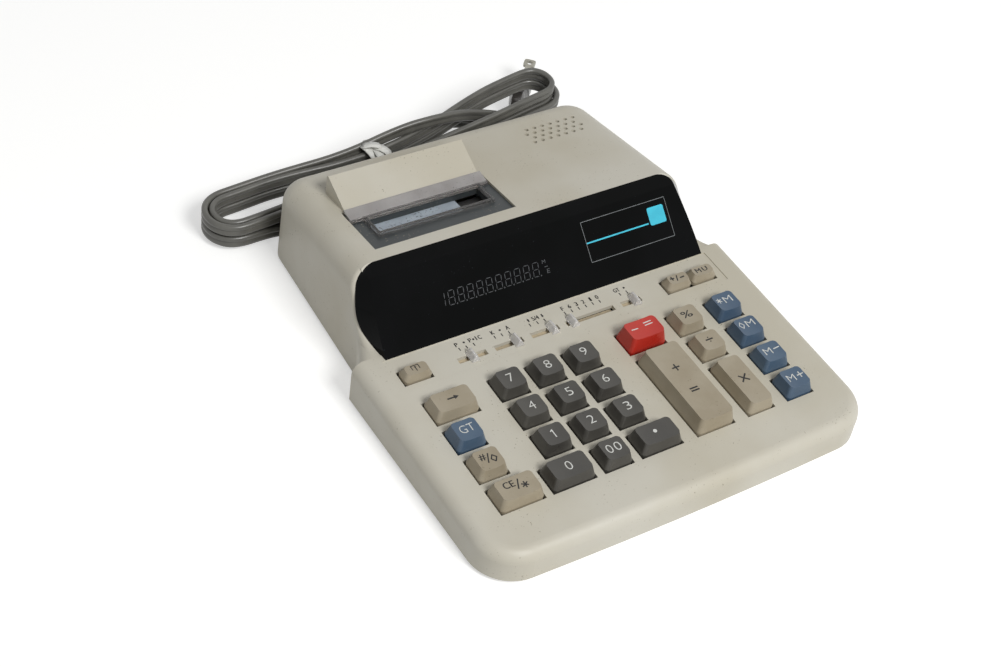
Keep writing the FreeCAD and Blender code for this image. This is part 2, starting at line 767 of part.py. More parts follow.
def on_cheek_edge(middle, edge):
    """Whether an edge is the outer rim of a cheek, between its hollow and the case's side."""
    place = middle - FACE_FOOT
    rise, depth = place.dot(FACE_RUN), -place.dot(FACE_NORMAL)
    outside = abs(middle.x) > SIDE - S.cheek_inset + 0.1
    along = abs(edge.Vertexes[0].Y - edge.Vertexes[-1].Y) > S.wall
    return outside and along and 0.0 < rise < FACE_LENGTH and 0.0 < depth < S.cheek_sink + 0.1


outer = case_form(0.0, S.foot_height).removeSplitter()
hollow = case_form(S.wall, S.foot_height)


def post(x, depth, low, radius):
    return Part.makeCylinder(radius, S.case_depth, Vector(x, back(depth), low))


FLOOR_TOP = S.foot_height + S.floor_wall
BOSSES = [(sign * S.front_boss_half, S.front_boss_depth) for sign in (-1, 1)] + \
         [(sign * S.rear_boss_half, S.rear_boss_depth) for sign in (-1, 1)]
# Where the upper case's bosses meet the lower case's
BOSS_LEVEL = FLOOR_TOP + S.boss_rise

power_y = back(S.power_row)
power_half = house_half(S.power_row) - (S.power_height - S.foot_height) * math.tan(math.radians(S.house_draft))


def upper_case():
    shell = outer.common(slab(S.seam_height, S.case_depth))
    shell = shell.cut(hollow)
    bosses = [post(x, depth, BOSS_LEVEL, S.boss_radius) for x, depth in BOSSES]
    shell = shell.fuse([boss.common(outer) for boss in bosses])
    holes = list(KEY_GAP_HOLES)
    holes += [post(x, depth, BOSS_LEVEL, S.screw_radius).common(slab(0, BOSS_LEVEL + S.screw_grip))
              for x, depth in BOSSES]
    panel_half = S.switch_panel_half
    holes.append(tilted_box((-panel_half, 0, -S.switch_panel_drop),
                            (2 * panel_half, S.display_foot - S.switch_panel_front, S.wall),
                            Vector(0, back(S.switch_panel_front), deck_height(S.switch_panel_front)),
                            math.radians(S.deck_tilt)))
    for name, rest, first, last in SWITCHES:
        middle, length = switch_run(rest, first, last, S.switch_slot_spare)
        holes.append(deck_box(middle, S.switch_row, length, S.switch_slot_width, -2 * S.wall, S.wall))
    holes.append(window_opening())
    holes.append(top_box(S.printer_left, S.printer_right, S.printer_front, S.printer_back,
                         -2 * S.wall, 2 * S.wall))
    holes.append(top_box(S.printer_left + S.hood_wall + S.inlet_margin,
                         S.printer_right - S.hood_wall - S.inlet_margin,
                         S.inlet_front, S.inlet_front + S.inlet_depth, -2 * S.wall, S.wall))
    holes += vent_holes()
    holes.append(Part.makeCylinder(S.gland_radius, 4 * S.wall, Vector(S.gland_column, back(S.case_depth)
                                   - 2 * S.wall, S.gland_height), Vector(0, 1, 0)))
    holes.append(Part.makeBox(4 * S.wall, S.power_slot_length, S.power_slot_width,
                              Vector(power_half - 2 * S.wall, power_y - S.power_slot_length / 2,
                                     S.power_height - S.power_slot_width / 2)))
    return shell.cut(holes)


def window_opening():
    """The hole in the brow face behind the display window."""
    places = [face_point(x, rise, -S.wall) for x, rise in (
        (-S.opening_half, S.opening_low), (S.opening_half, S.opening_low),
        (S.opening_half, S.opening_high), (-S.opening_half, S.opening_high))]
    return Part.Face(Part.makePolygon(places + places[:1])).extrude(FACE_NORMAL * (-3 * S.wall))


def vent_holes():
    holes = []
    normal = Vector(0, math.sin(TOP_TILT), math.cos(TOP_TILT))
    for line in range(int(S.vent_rows)):
        for column in range(int(S.vent_columns)):
            x = S.vent_left + (column + 0.5 * (line % 2)) * S.vent_pitch
            depth = S.vent_front + line * S.vent_row_pitch
            base = Vector(x, back(depth), top_height(depth)) - normal * (2 * S.wall)
            holes.append(Part.makeCylinder(S.vent_radius, 3 * S.wall, base, normal))
    return holes


computed("upper_case", upper_case())


def lower_case():
    """The floor tray: short wall up to the seam, lip inside the upper case, bosses, board rests."""
    tray = outer.common(slab(S.foot_height, S.seam_height))
    tray = tray.cut(hollow.common(slab(FLOOR_TOP, S.case_depth)))
    lip_inset = S.wall + S.joint_gap
    lip = deck_form(lip_inset, S.foot_height).fuse(house_form(lip_inset, S.foot_height))
    core_inset = lip_inset + S.lip_wall
    core = deck_form(core_inset, S.foot_height).fuse(house_form(core_inset, S.foot_height))
    rim = lip.common(slab(S.foot_height, S.seam_height + S.lip_rise)).cut(
        core.common(slab(FLOOR_TOP, S.case_depth)))
    tray = tray.fuse(rim)
    bosses = [post(x, depth, S.foot_height, S.boss_radius).common(slab(0, BOSS_LEVEL)) for x, depth in BOSSES]
    rests = key_board_rests() + logic_board_rests() + frame_rests()
    tray = tray.fuse(bosses + rests)
    cuts = []
    for x, depth in BOSSES:
        cuts.append(post(x, depth, S.foot_height, S.screw_radius + S.screw_gap).common(slab(0, BOSS_LEVEL)))
        cuts.append(post(x, depth, 0, S.screw_head_radius + S.screw_gap).common(
            slab(0, S.foot_height + S.screw_head_wall)))
    notch = S.gland_flange_radius + S.screw_gap
    cuts.append(Part.makeBox(2 * notch, 2 * S.wall, S.case_depth,
                             Vector(S.gland_column - notch, back(S.case_depth) - 3 * S.wall, FLOOR_TOP)))
    for x, depth in FEET:
        cuts.append(post(x, depth, 0, S.foot_radius).common(slab(0, S.foot_height + S.foot_press)))
    return tray.cut(cuts)


FEET = [(sign * half, depth) for sign in (-1, 1) for half, depth in (
    (S.foot_front_half, S.foot_front_depth), (S.foot_rear_half, S.foot_rear_depth))]
GUIDE_HALF = abs(S.left_edge) + S.guide_margin
GUIDE_FRONT = CAP_PLACES[3][1] - CAP_PLACES[3][3] / 2 - S.guide_margin
GUIDE_BACK = S.small_row + S.small_key_depth / 2 + S.guide_margin
SHEET_TOP = -S.pad_drop
BOARD_TOP = -S.pad_drop - S.sheet_wall
BOARD_LOW = BOARD_TOP - S.board_wall


def stack_box(low, high, margin=0.0, front=None, rear=None, left=None, right=None):
    """A box over the keyboard area between two heights below the deck's face."""
    front = GUIDE_FRONT if front is None else front
    rear = GUIDE_BACK if rear is None else rear
    left = -GUIDE_HALF if left is None else left
    right = GUIDE_HALF if right is None else right
    return deck_box((left + right) / 2, (front + rear) / 2, right - left - 2 * margin,
                    rear - front - 2 * margin, low, high)


def key_board_rests():
    """Posts that carry the keyboard stack on the floor."""
    under = stack_box(BOARD_LOW - S.case_depth, BOARD_LOW)
    places = [(sign * (GUIDE_HALF - S.boss_radius), depth) for sign in (-1, 1)
              for depth in (GUIDE_FRONT + S.boss_radius, GUIDE_BACK - S.boss_radius)]
    places.append((0, GUIDE_BACK - S.boss_radius))
    return [post(x, depth, S.foot_height, S.boss_radius).common(under) for x, depth in places]


def key_guide():
    """The plate that the key stems run in, with a rim that joins the deck to the rubber sheet."""
    plate = stack_box(-S.guide_drop - S.guide_wall, -S.guide_drop)
    rim = stack_box(SHEET_TOP, -S.wall).cut(stack_box(SHEET_TOP, -S.wall, S.guide_rim))
    side = S.stem_side + 2 * S.stem_gap
    low, high = -S.guide_drop - 2 * S.guide_wall, 0
    holes = [deck_box(x, y, side, side, low, high) for x, y in [place[:2] for place in CAP_PLACES] + POSTS]
    for name, rest, first, last in SWITCHES:
        middle, length = switch_run(rest, first, last, S.switch_slot_spare)
        holes.append(deck_box(middle, S.switch_row, length, S.switch_slot_width, low, high))
    return plate.fuse(rim).cut(holes)


SWITCH_FRONT = S.switch_row - S.switch_slot_width / 2 - S.switch_body_wall
SWITCH_BACK = S.switch_row + S.switch_slot_width / 2 + S.switch_body_wall


def rubber_sheet():
    """The sheet of spring cups under the keys; it is cut away round the slide switches."""
    sheet_low = stack_box(BOARD_TOP, SHEET_TOP)
    spare = S.switch_slot_spare + S.switch_body_wall
    ends = [switch_run(rest, first, last, spare) for name, rest, first, last in SWITCHES]
    left = min(middle - length / 2 for middle, length in ends)
    right = max(middle + length / 2 for middle, length in ends)
    sheet_low = sheet_low.cut(stack_box(BOARD_TOP, SHEET_TOP, 0.0, SWITCH_FRONT - S.wall,
                                        GUIDE_BACK - S.guide_rim, left - S.wall, right + S.wall))
    cups = []
    for x, y, wide, deep in CAP_PLACES:
        cup = deck_rod(x, y, S.well_radius, SHEET_TOP, SHEET_TOP + S.well_rise)
        cups.append(cup.cut(deck_rod(x, y, S.well_radius - S.well_wall, SHEET_TOP, 0)))
    return sheet_low.fuse(cups)


def deck_rod(column, row, radius, low, high):
    base = Vector(column, back(row), deck_height(row))
    turn = FreeCAD.Rotation(Vector(1, 0, 0), S.deck_tilt)
    normal = turn.multVec(Vector(0, 0, 1))
    return Part.makeCylinder(radius, high - low, base + normal * low, normal)


def key_board():
    """The keyboard circuit board with the five slide-switch bodies soldered to it."""
    board = stack_box(BOARD_LOW, BOARD_TOP)
    top = -S.guide_drop - S.guide_wall
    for name, rest, first, last in SWITCHES:
        middle, length = switch_run(rest, first, last, S.switch_slot_spare)
        width = 2 * S.switch_body_wall + S.switch_slot_width
        body = deck_box(middle, S.switch_row, length, width, BOARD_TOP, top)
        channel = deck_box(middle, S.switch_row, length - 2 * S.switch_body_wall, S.switch_slot_width,
                           -S.knob_drop - S.knob_lift, top)
        board = board.fuse(body.cut(channel))
    return board


computed("key_guide", key_guide())
computed("rubber_sheet", rubber_sheet())
computed("key_board", key_board())

# Display

PANE_RUN = Vector(0, S.pane_brow_depth - S.display_foot, S.pane_brow_height - deck_height(S.display_foot))
PANE_ANGLE = math.atan2(PANE_RUN.z, PANE_RUN.y)


def window_profile(drop, behind):
    """Side profile of the display window: pane, top band, and how far it reaches behind the brow face."""
    foot = (S.display_foot, deck_height(S.display_foot))
    pane_drop = drop / math.cos(PANE_ANGLE)
    band = math.atan2(S.brow_height - S.pane_brow_height, S.brow_depth - S.pane_brow_depth)
    band_drop = drop / math.cos(band)
    ridge = S.pane_brow_depth + (pane_drop - band_drop) / (math.tan(PANE_ANGLE) - math.tan(band))
    ridge_height = S.pane_brow_height + (ridge - S.pane_brow_depth) * math.tan(band) - band_drop
    profile = [(foot[0], foot[1] - pane_drop), (ridge, ridge_height), (S.brow_depth, S.brow_height - band_drop)]
    if behind:
        low = behind / FACE_RUN.y
        profile += [(S.brow_depth, S.brow_height - band_drop - low), (foot[0], foot[1] - pane_drop - low)]
    return profile_prism(profile, S.case_width)


def window_form():
    """The display window before it is hollowed: pane and top band on the brow face, flanks on the cheeks."""
    foot, head = -S.window_wall, FACE_LENGTH + S.joint_gap

    def outline(depth, foot_inset, brow_inset):
        grow = (foot_inset - brow_inset) / FACE_LENGTH
        low_half = SIDE - foot_inset + foot * grow
        high_half = SIDE - foot_inset + head * grow
        places = [face_point(-low_half, foot, depth), face_point(low_half, foot, depth),
                  face_point(high_half, head, depth), face_point(-high_half, head, depth)]
        return Part.makePolygon(places + places[:1])
    prism = Part.makeLoft([outline(S.cheek_sink, S.window_back_foot_inset, S.window_back_brow_inset),
                           outline(-S.window_reach, S.window_front_foot_inset, S.window_front_brow_inset)],
                          True, True)

    def top_corner(middle, edge):
        along_normal = 0.5
        sideways = abs(edge.tangentAt(edge.FirstParameter).dot(FACE_NORMAL)) > along_normal
        return sideways and (middle - FACE_FOOT).dot(FACE_RUN) > FACE_LENGTH / 2
    prism = round_edges(prism, S.window_corner, top_corner)
    middle = window_profile(0.0, 0.0)
    deep = window_profile(0.0, 2 * S.cheek_sink)
    flanks = deep.cut(profile_box(SIDE - S.cheek_inset)).common(cheek_cutter(0.0))
    form = prism.common(middle.fuse(flanks)).cut(deck_form(0.0, S.foot_height))
    return round_edges(form, S.window_ridge, lambda place, edge: abs(place.z - S.pane_brow_height) < 0.1
                       and abs(place.y - back(S.pane_brow_depth)) < 0.1)


def profile_box(half):
    """Everything within a half width of the case's middle."""
    reach = S.case_width + S.case_depth
    return Part.makeBox(2 * half, 2 * reach, 2 * reach, Vector(-half, -reach, -reach))


def window_hollow():
    """The inside of the display window, open towards the brow face."""
    return window_profile(S.window_wall, S.window_wall).common(
        profile_box(SIDE - S.cheek_inset - S.window_wall))


computed("display_window", window_form().cut(window_hollow()))


def pane_box(left, right, low, high, front, rear):
    """A box in the pane's own frame: up the pane's slope and back from its face."""
    box = Part.makeBox(right - left, high - low, rear - front, Vector(left, low, -rear))
    box.Placement = FreeCAD.Placement(FACE_FOOT, FreeCAD.Rotation(Vector(1, 0, 0), math.degrees(PANE_ANGLE)))
    return box


TUBE_BACK = S.tube_setback + S.tube_depth


def display_tube():
    """The vacuum display: a flat glass box with its sealed tip at one end."""
    left = S.tube_centre - S.tube_width / 2
    glass = pane_box(left, left + S.tube_width, S.tube_rise, S.tube_rise + S.tube_height, S.tube_setback,
                     TUBE_BACK)
    tip = Part.makeCylinder(S.tube_tip_radius, S.tube_tip_length + 1,
                            Vector(left - S.tube_tip_length, S.tube_rise + S.tube_height / 2,
                                   -S.tube_setback - S.tube_depth / 2), Vector(1, 0, 0))
    tip.Placement = glass.Placement.multiply(tip.Placement)
    return glass.fuse(tip)


def logic_board_blank():
    return pane_box(-S.logic_board_half, S.logic_board_half, S.logic_board_low, S.logic_board_high,
                    TUBE_BACK, TUBE_BACK + S.board_wall)


def logic_board():
    """The display and logic board with its main chip beside the tube."""
    left = S.tube_centre + S.tube_width / 2 + S.window_wall
    chip = pane_box(left, left + S.logic_chip_width, S.tube_rise, S.tube_rise + S.logic_chip_height,
                    TUBE_BACK - S.logic_chip_wall, TUBE_BACK)
    return logic_board_blank().fuse(chip)


def logic_board_rests():
    """Two slotted ribs on the floor that hold the board's lower edge."""
    low = logic_board_blank().BoundBox
    ribs = []
    for sign in (-1, 1):
        rib = Part.makeBox(S.logic_rest_wall, S.boss_radius * 4, S.logic_rest_height - S.foot_height,
                           Vector(sign * S.logic_rest_half - S.logic_rest_wall / 2,
                                  low.YMin - S.boss_radius, S.foot_height))
        ribs.append(rib.cut(logic_board_blank()))
    return ribs


computed("display_tube", display_tube())
computed("logic_board", logic_board())

# Printer


def printer_cover():
    """The dark cover plate in the printer opening, with its flange under the case's top."""
    gap, flange = S.cover_gap, S.cover_flange
    low = -S.wall - S.cover_wall
    plate = top_box(S.printer_left + gap, S.printer_right - gap, S.printer_front + gap,
                    S.printer_back - gap, low, -S.cover_drop)
    rim = top_box(S.printer_left - flange, S.printer_right + flange, S.printer_front - flange,
                  S.printer_back + flange, low, -S.wall)
    wall = S.rim_wall
    slot = top_box(S.rim_left + wall, S.rim_right - wall, S.rim_front + wall, S.rim_back - wall,
                   2 * low, S.rim_rise)
    return plate.fuse(rim).cut(slot).removeSplitter()


def tear_bar():
    """One clear moulding: the rim round the printer window and the slanted tear-off strip behind it."""
    wall = S.rim_wall
    rim = top_box(S.rim_left, S.rim_right, S.rim_front, S.rim_back, -S.cover_drop,
                  S.rim_rise - S.cover_drop)
    rim = rim.cut(top_box(S.rim_left + wall, S.rim_right - wall, S.rim_front + wall, S.rim_back - wall,
                          -S.wall, S.rim_rise))
    root = S.rim_back - wall / 2
    left, right = S.printer_left + S.tear_gap, S.printer_right - S.tear_gap
    strip = tilted_box((left, 0, 0), (right - left, S.tear_reach + wall / 2, S.tear_wall),
                       Vector(0, back(root), top_height(root) - S.cover_drop),
                       math.radians(S.tear_tilt) - TOP_TILT)
    return rim.fuse(strip)


def hood_profile(drop):
    """Side profile of the paper hood's slope, lowered by a drop."""
    front = S.printer_back + S.cover_gap
    low = top_height(front) + S.hood_front_rise
    slope = (S.hood_ridge_height - low) / (S.hood_ridge - front)
    return front, low - drop, slope


def paper_hood():
    """The wedge-shaped hood over the paper inlet, open underneath and at the back."""
    front, low, slope = hood_profile(0.0)
    edge = S.hood_ridge_height - S.hood_front_rise
    rear = S.hood_back
    profile = [(front, top_height(front)), (front, low), (S.hood_ridge, S.hood_ridge_height), (rear, edge),
               (rear, top_height(rear))]
    half = (S.printer_right - S.printer_left) / 2 - S.hood_inset
    middle = Vector((S.printer_right + S.printer_left) / 2, 0, 0)
    wedge = profile_prism(profile, half)
    front, low, slope = hood_profile(S.hood_wall / math.cos(math.atan(slope)))
    reach = rear + S.hood_wall
    inner = profile_prism([(front, low), (reach, low + slope * (reach - front)),
                           (reach, top_height(rear) - S.wall), (front, top_height(front) - S.wall)],
                          half - S.hood_wall)
    hood = wedge.cut(inner)
    hood.translate(middle)
    return hood


computed("printer_cover", printer_cover())
computed("tear_bar", tear_bar())
computed("paper_hood", paper_hood())


def x_rod(radius, left, right, depth, height):
    return Part.makeCylinder(radius, right - left, Vector(left, back(depth), height), Vector(1, 0, 0))


GEAR_DISTANCE = S.gear_module * (S.platen_teeth + S.drive_teeth) / 2
MOTOR_HEIGHT = S.platen_height - math.sqrt(GEAR_DISTANCE ** 2 - (S.motor_row - S.platen_row) ** 2)
PLATE_IN = S.frame_right - S.frame_wall
TYPE_ROW = S.platen_row - S.platen_radius - S.type_gap - S.type_radius
INK_ROW = TYPE_ROW - S.type_radius - S.ink_gap - S.ink_radius
CARRIAGE_LEFT = S.carriage_right - S.carriage_width


def frame_box(left, right, front, rear, low, high):
    return Part.makeBox(right - left, rear - front, high - low, Vector(left, back(front), low))


def printer_frame():
    """The printer's chassis: floor, two side plates, two rails and the pale paper guides."""
    wall = S.frame_wall
    frame = frame_box(S.frame_left, S.frame_right, S.frame_front, S.frame_back, S.frame_floor,
                      S.frame_floor + wall)
    for left in (S.frame_left, PLATE_IN):
        frame = frame.fuse(frame_box(left, left + wall, S.frame_front, S.frame_back, S.frame_floor,
                                     S.frame_top))
    inner = S.frame_left + wall
    for depth in (S.rail_front, S.rail_back):
        frame = frame.fuse(x_rod(S.rail_radius, inner - wall / 2, PLATE_IN + wall / 2, depth,
                                 S.rail_height))
    bore = S.shaft_radius + S.shaft_gap
    frame = frame.cut(x_rod(bore, S.frame_left - wall, S.frame_right + wall, S.platen_row,
                            S.platen_height))
    frame = frame.cut(x_rod(S.motor_shaft_radius + S.shaft_gap, PLATE_IN - wall, S.frame_right + wall,
                            S.motor_row, MOTOR_HEIGHT))
    high = -S.guide_plate_drop
    for front, rear in ((S.guide_front, S.guide_slit_front), (S.guide_slit_back, S.guide_back)):
        guide = top_box(S.frame_left, S.guide_plate_right, front, rear, high - S.guide_plate_wall, high)
        arm = guide.BoundBox
        post_low = S.frame_top - wall
        hanger = frame_box(S.frame_left, S.frame_left + wall, front, rear, post_low, arm.ZMax - high / 2)
        hanger = hanger.common(top_box(S.frame_left, S.frame_left + wall, front, rear, -S.case_depth, high))
        frame = frame.fuse(hanger).fuse(guide)
    return frame.removeSplitter()


def frame_rests():
    """Four short posts on the floor under the printer's chassis."""
    inset = S.frame_foot_radius
    return [post(x, depth, S.foot_height, inset).common(slab(0, S.frame_floor))
            for x in (S.frame_left + inset, S.frame_right - inset)
            for depth in (S.frame_front + inset, S.frame_back - inset)]


def gear(teeth, left, depth, height, phase):
    """A small spur gear along X with narrow straight-sided teeth."""
    pitch = S.gear_module * teeth / 2
    tip, root = pitch + 0.75 * S.gear_module, pitch - S.gear_module
    step = 2 * math.pi / teeth
    centre = Vector(left, back(depth), height)
    places = []
    for index in range(teeth):
        middle = phase + index * step
        for radius, swing in ((root, -0.27), (tip, -0.12), (tip, 0.12), (root, 0.27)):
            angle = middle + swing * step
            places.append(centre + Vector(0, radius * math.cos(angle), radius * math.sin(angle)))
    return Part.Face(Part.makePolygon(places + places[:1])).extrude(Vector(S.gear_wall, 0, 0))


GEAR_LINE = math.atan2(MOTOR_HEIGHT - S.platen_height, S.motor_row - S.platen_row)


def platen_roller():
    """The rubber platen on its shaft, with the gear outside the right side plate."""
    gear_right = S.gear_column + S.gear_wall
    roller = x_rod(S.platen_radius, S.platen_left, S.platen_right, S.platen_row, S.platen_height)
    shaft = x_rod(S.shaft_radius, S.frame_left - S.frame_wall / 2, gear_right, S.platen_row,
                  S.platen_height)
    wheel = gear(int(S.platen_teeth), S.gear_column, S.platen_row, S.platen_height, GEAR_LINE)
    return roller.fuse(shaft).fuse(wheel)


def drive_gear():
    teeth = int(S.drive_teeth)
    turn = GEAR_LINE + math.pi + math.pi / teeth
    wheel = gear(teeth, S.gear_column, S.motor_row, MOTOR_HEIGHT, turn)
    left, right = S.gear_column - S.gear_wall, S.gear_column + 2 * S.gear_wall
    return wheel.cut(x_rod(S.motor_shaft_radius + S.shaft_gap, left, right, S.motor_row, MOTOR_HEIGHT))


def printer_motor():
    can = x_rod(S.motor_radius, PLATE_IN - S.motor_length, PLATE_IN, S.motor_row, MOTOR_HEIGHT)
    shaft = x_rod(S.motor_shaft_radius, PLATE_IN, S.gear_column + S.gear_wall + S.frame_wall / 2,
                  S.motor_row, MOTOR_HEIGHT)
    return can.fuse(shaft)


def print_carriage():
    """The carriage block on its two rails, with cheeks that hold the type wheel and the ink roller."""
    block_shape = frame_box(CARRIAGE_LEFT, S.carriage_right, S.carriage_front, S.carriage_back,
                            S.carriage_low, S.carriage_top)
    pocket = frame_box(CARRIAGE_LEFT + S.carriage_cheek, S.carriage_right - S.carriage_cheek,
                       S.carriage_pocket_front, S.carriage_back + S.wall, S.carriage_pocket_low,
                       S.carriage_top + S.wall)
    left, right = CARRIAGE_LEFT - 1, S.carriage_right + 1
    holes = [x_rod(S.rail_radius + S.shaft_gap, left, right, depth, S.rail_height)
             for depth in (S.rail_front, S.rail_back)]
    holes += [x_rod(S.pin_radius + S.shaft_gap, left, right, depth, S.platen_height)
              for depth in (TYPE_ROW, INK_ROW)]
    return block_shape.cut([pocket] + holes)


def carriage_roller(radius, depth):
    """A wheel between the carriage's cheeks with its two pins."""
    inner = S.carriage_cheek + S.roller_gap
    wheel = x_rod(radius, CARRIAGE_LEFT + inner, S.carriage_right - inner, depth, S.platen_height)
    return wheel.fuse(x_rod(S.pin_radius, CARRIAGE_LEFT, S.carriage_right, depth, S.platen_height))


computed("printer_frame", printer_frame())
computed("printer_motor", printer_motor())
computed("platen_roller", platen_roller())
computed("drive_gear", drive_gear())
computed("print_carriage", print_carriage())
computed("type_wheel", carriage_roller(S.type_radius, TYPE_ROW))
computed("ink_roller", carriage_roller(S.ink_radius, INK_ROW))

# Power


def transformer():
    """The mains transformer: iron core with a coil through it and a mounting foot."""
    body = new_body("transformer")
    low = "foot_height + floor_wall"
    x, y = "case_width / 2 - transformer_side", "case_depth / 2 - transformer_rear"
    block(body, "Additive", "transformer_core", (f"{x} - transformer_width / 2",
                                                 f"{y} - transformer_core / 2", low),
          ("transformer_width", "transformer_core", "transformer_height"))
    block(body, "Additive", "transformer_coil", (f"{x} - transformer_coil / 2",
                                                 f"{y} - transformer_depth / 2",
                                                 f"{low} + transformer_foot"),
          ("transformer_coil", "transformer_depth", "transformer_height - 4 * transformer_foot"))
    block(body, "Additive", "transformer_plate", (f"{x} - transformer_width / 2",
                                                  f"{y} - transformer_depth / 2", low),
          ("transformer_width", "transformer_depth", "transformer_foot"))


def power_knob():
    """The power slider in the right flank: grip outside, foot through the slot, flange inside."""
    def bar(left, right, length, height):
        return Part.makeBox(right - left, length, height,
                            Vector(left, power_y - length / 2 - S.power_travel / 2,
                                   S.power_height - height / 2))
    face = power_half + S.power_gap
    inside = power_half - S.wall - S.power_gap
    grip = bar(face, face + S.power_grip_rise, S.power_grip - S.power_gap, S.power_grip_height)
    foot = bar(inside, face, S.power_foot, S.power_foot)
    flange = bar(inside - S.frame_wall / 2, inside, S.power_flange, S.power_flange)
    return grip.fuse(foot).fuse(flange)


transformer()
computed("power_knob", power_knob())

# Feet and screws

computed("rubber_feet", Part.makeCompound([
    post(x, depth, 0, S.foot_radius).common(slab(0, S.foot_height + S.foot_press)) for x, depth in FEET]))


def case_screw(x, depth):
    head_top = S.foot_height + S.screw_head_wall
    head = post(x, depth, 0, S.screw_head_radius).common(slab(S.foot_height + S.screw_gap, head_top))
    return head.fuse(post(x, depth, 0, S.screw_radius).common(slab(S.foot_height + S.screw_gap,
                                                                   BOSS_LEVEL + S.screw_grip)))


computed("case_screws", Part.makeCompound([case_screw(x, depth) for x, depth in BOSSES]))
computed("lower_case", lower_case())

# Cord: a flat twin lead, drawn here as a round tube, from the rear wall to its tied hank and plug

GLAND_FACE = back(S.case_depth)
BOOT_END = GLAND_FACE + S.boot_length


def y_rod(radius, front, rear):
    return Part.makeCylinder(radius, rear - front, Vector(S.gland_column, front, S.gland_height),
                             Vector(0, 1, 0))


def strain_relief():
    """The cord's grommet: a flange on each side of the rear wall and a tapered boot."""
    inside = GLAND_FACE - S.wall
    body = y_rod(S.gland_radius, inside - S.gland_flange_wall, GLAND_FACE + S.gland_flange_wall)
    body = body.fuse(y_rod(S.gland_flange_radius, inside - S.gland_flange_wall, inside))
    body = body.fuse(y_rod(S.gland_flange_radius, GLAND_FACE, GLAND_FACE + S.gland_flange_wall))
    start = GLAND_FACE + S.gland_flange_wall
    boot = Part.makeCone(S.gland_radius, S.cord_radius + S.boot_wall, BOOT_END - start,
                         Vector(S.gland_column, start, S.gland_height), Vector(0, 1, 0))
    return body.fuse(boot).removeSplitter()


HANK_TURN = FreeCAD.Rotation(Vector(0, 0, 1), S.hank_yaw).multiply(
    FreeCAD.Rotation(Vector(0, 1, 0), -S.hank_tilt))
HANK_BASE = Vector(S.hank_column, back(S.hank_row), S.hank_height)


def in_hank(along, across, up):
    """A place in the hank's own frame: along its length, across it, and up through its layers."""
    return HANK_BASE + HANK_TURN.multVec(Vector(along, across, up))


def sweep(path, start, heading):
    """A round tube of the cord's radius along a wire."""
    circle = Part.Circle(start, heading, S.cord_radius).toShape()
    shell = Part.BRepOffsetAPI.MakePipeShell(path)
    shell.add(Part.Wire([circle]))
    shell.build()
    shell.makeSolid()
    return shell.shape()


def rounded_path(points):
    """Straight runs joined by arcs: each arc's radius is 0.45 of its shorter run over tan(half turn)."""
    edges, radii, here = [], [], points[0]
    for before, corner, after in zip(points, points[1:], points[2:]):
        into, out = corner - before, after - corner
        reach = 0.45 * min(into.Length, out.Length)
        half_turn = into.getAngle(out) / 2
        radii.append(reach / math.tan(half_turn))
        into.normalize()
        out.normalize()
        first, last = corner - into * reach, corner + out * reach
        inward = out - into
        inward.normalize()
        middle = corner + inward * (reach * (1 / math.sin(half_turn) - 1 / math.tan(half_turn)))
        edges += [Part.LineSegment(here, first).toShape(), Part.Arc(first, middle, last).toShape()]
        here = last
    edges.append(Part.LineSegment(here, points[-1]).toShape())
    return Part.Wire(edges), radii


def check_tube(name, solid, path):
    """Compare the tube's volume with its section times its length."""
    expected = math.pi * S.cord_radius ** 2 * path.Length
    print(name, "length", round(path.Length, 1), "volume share", round(solid.Volume / expected, 4))


# Where the tail meets the hank: one diameter before the first turn
HANK_START = (-S.hank_turn_column + 2 * S.cord_radius, -S.hank_outer_half, 0.0)

# The tail's corners between the boot's mouth and the hank, chosen by hand
TAIL_ROUTE = [
    (50.0, 144.2, 11.0),
    (47.0, 151.6, 10.0),
    (41.4, 157.3, 8.4),
    (34.1, 160.5, 6.8),
    (26.1, 160.9, 5.3),
    (16.4, 158.6, 4.3),
    (4.0, 153.4, 3.6),
    (-8.5, 145.6, 3.3),
    (-22.0, 138.2, 3.3),
    (-36.5, 131.2, 3.3),
    (-51.0, 126.6, 3.4),
    (-63.5, 120.8, 3.9),
]


def arc_from(start, heading, end):
    """The arc that leaves a place along a heading and ends at another place."""
    chord = end - start
    aside = heading - chord * (heading.dot(chord) / chord.dot(chord))
    if aside.Length < 1e-6:
        return Part.LineSegment(start, end).toShape()
    swing = heading.getAngle(chord)
    aside.normalize()
    middle = start + chord * 0.5 + aside * (chord.Length / 2 * math.tan(swing / 2))
    return Part.Arc(start, middle, end).toShape()


def biarc(start, heading, end, last_heading):
    """Two arcs that join two places, each with its own heading."""
    gap = end - start
    both = heading + last_heading
    bend = 2 * (1 - heading.dot(last_heading))
    if bend < 1e-9:
        reach = gap.dot(gap) / (4 * gap.dot(last_heading))
    else:
        lead = gap.dot(both)
        reach = (math.sqrt(lead ** 2 + bend * gap.dot(gap)) - lead) / bend
    joint = (start + end + (heading - last_heading) * reach) * 0.5
    first = arc_from(start, heading, joint)
    second = arc_from(end, last_heading * -1, joint)
    return [first, second]


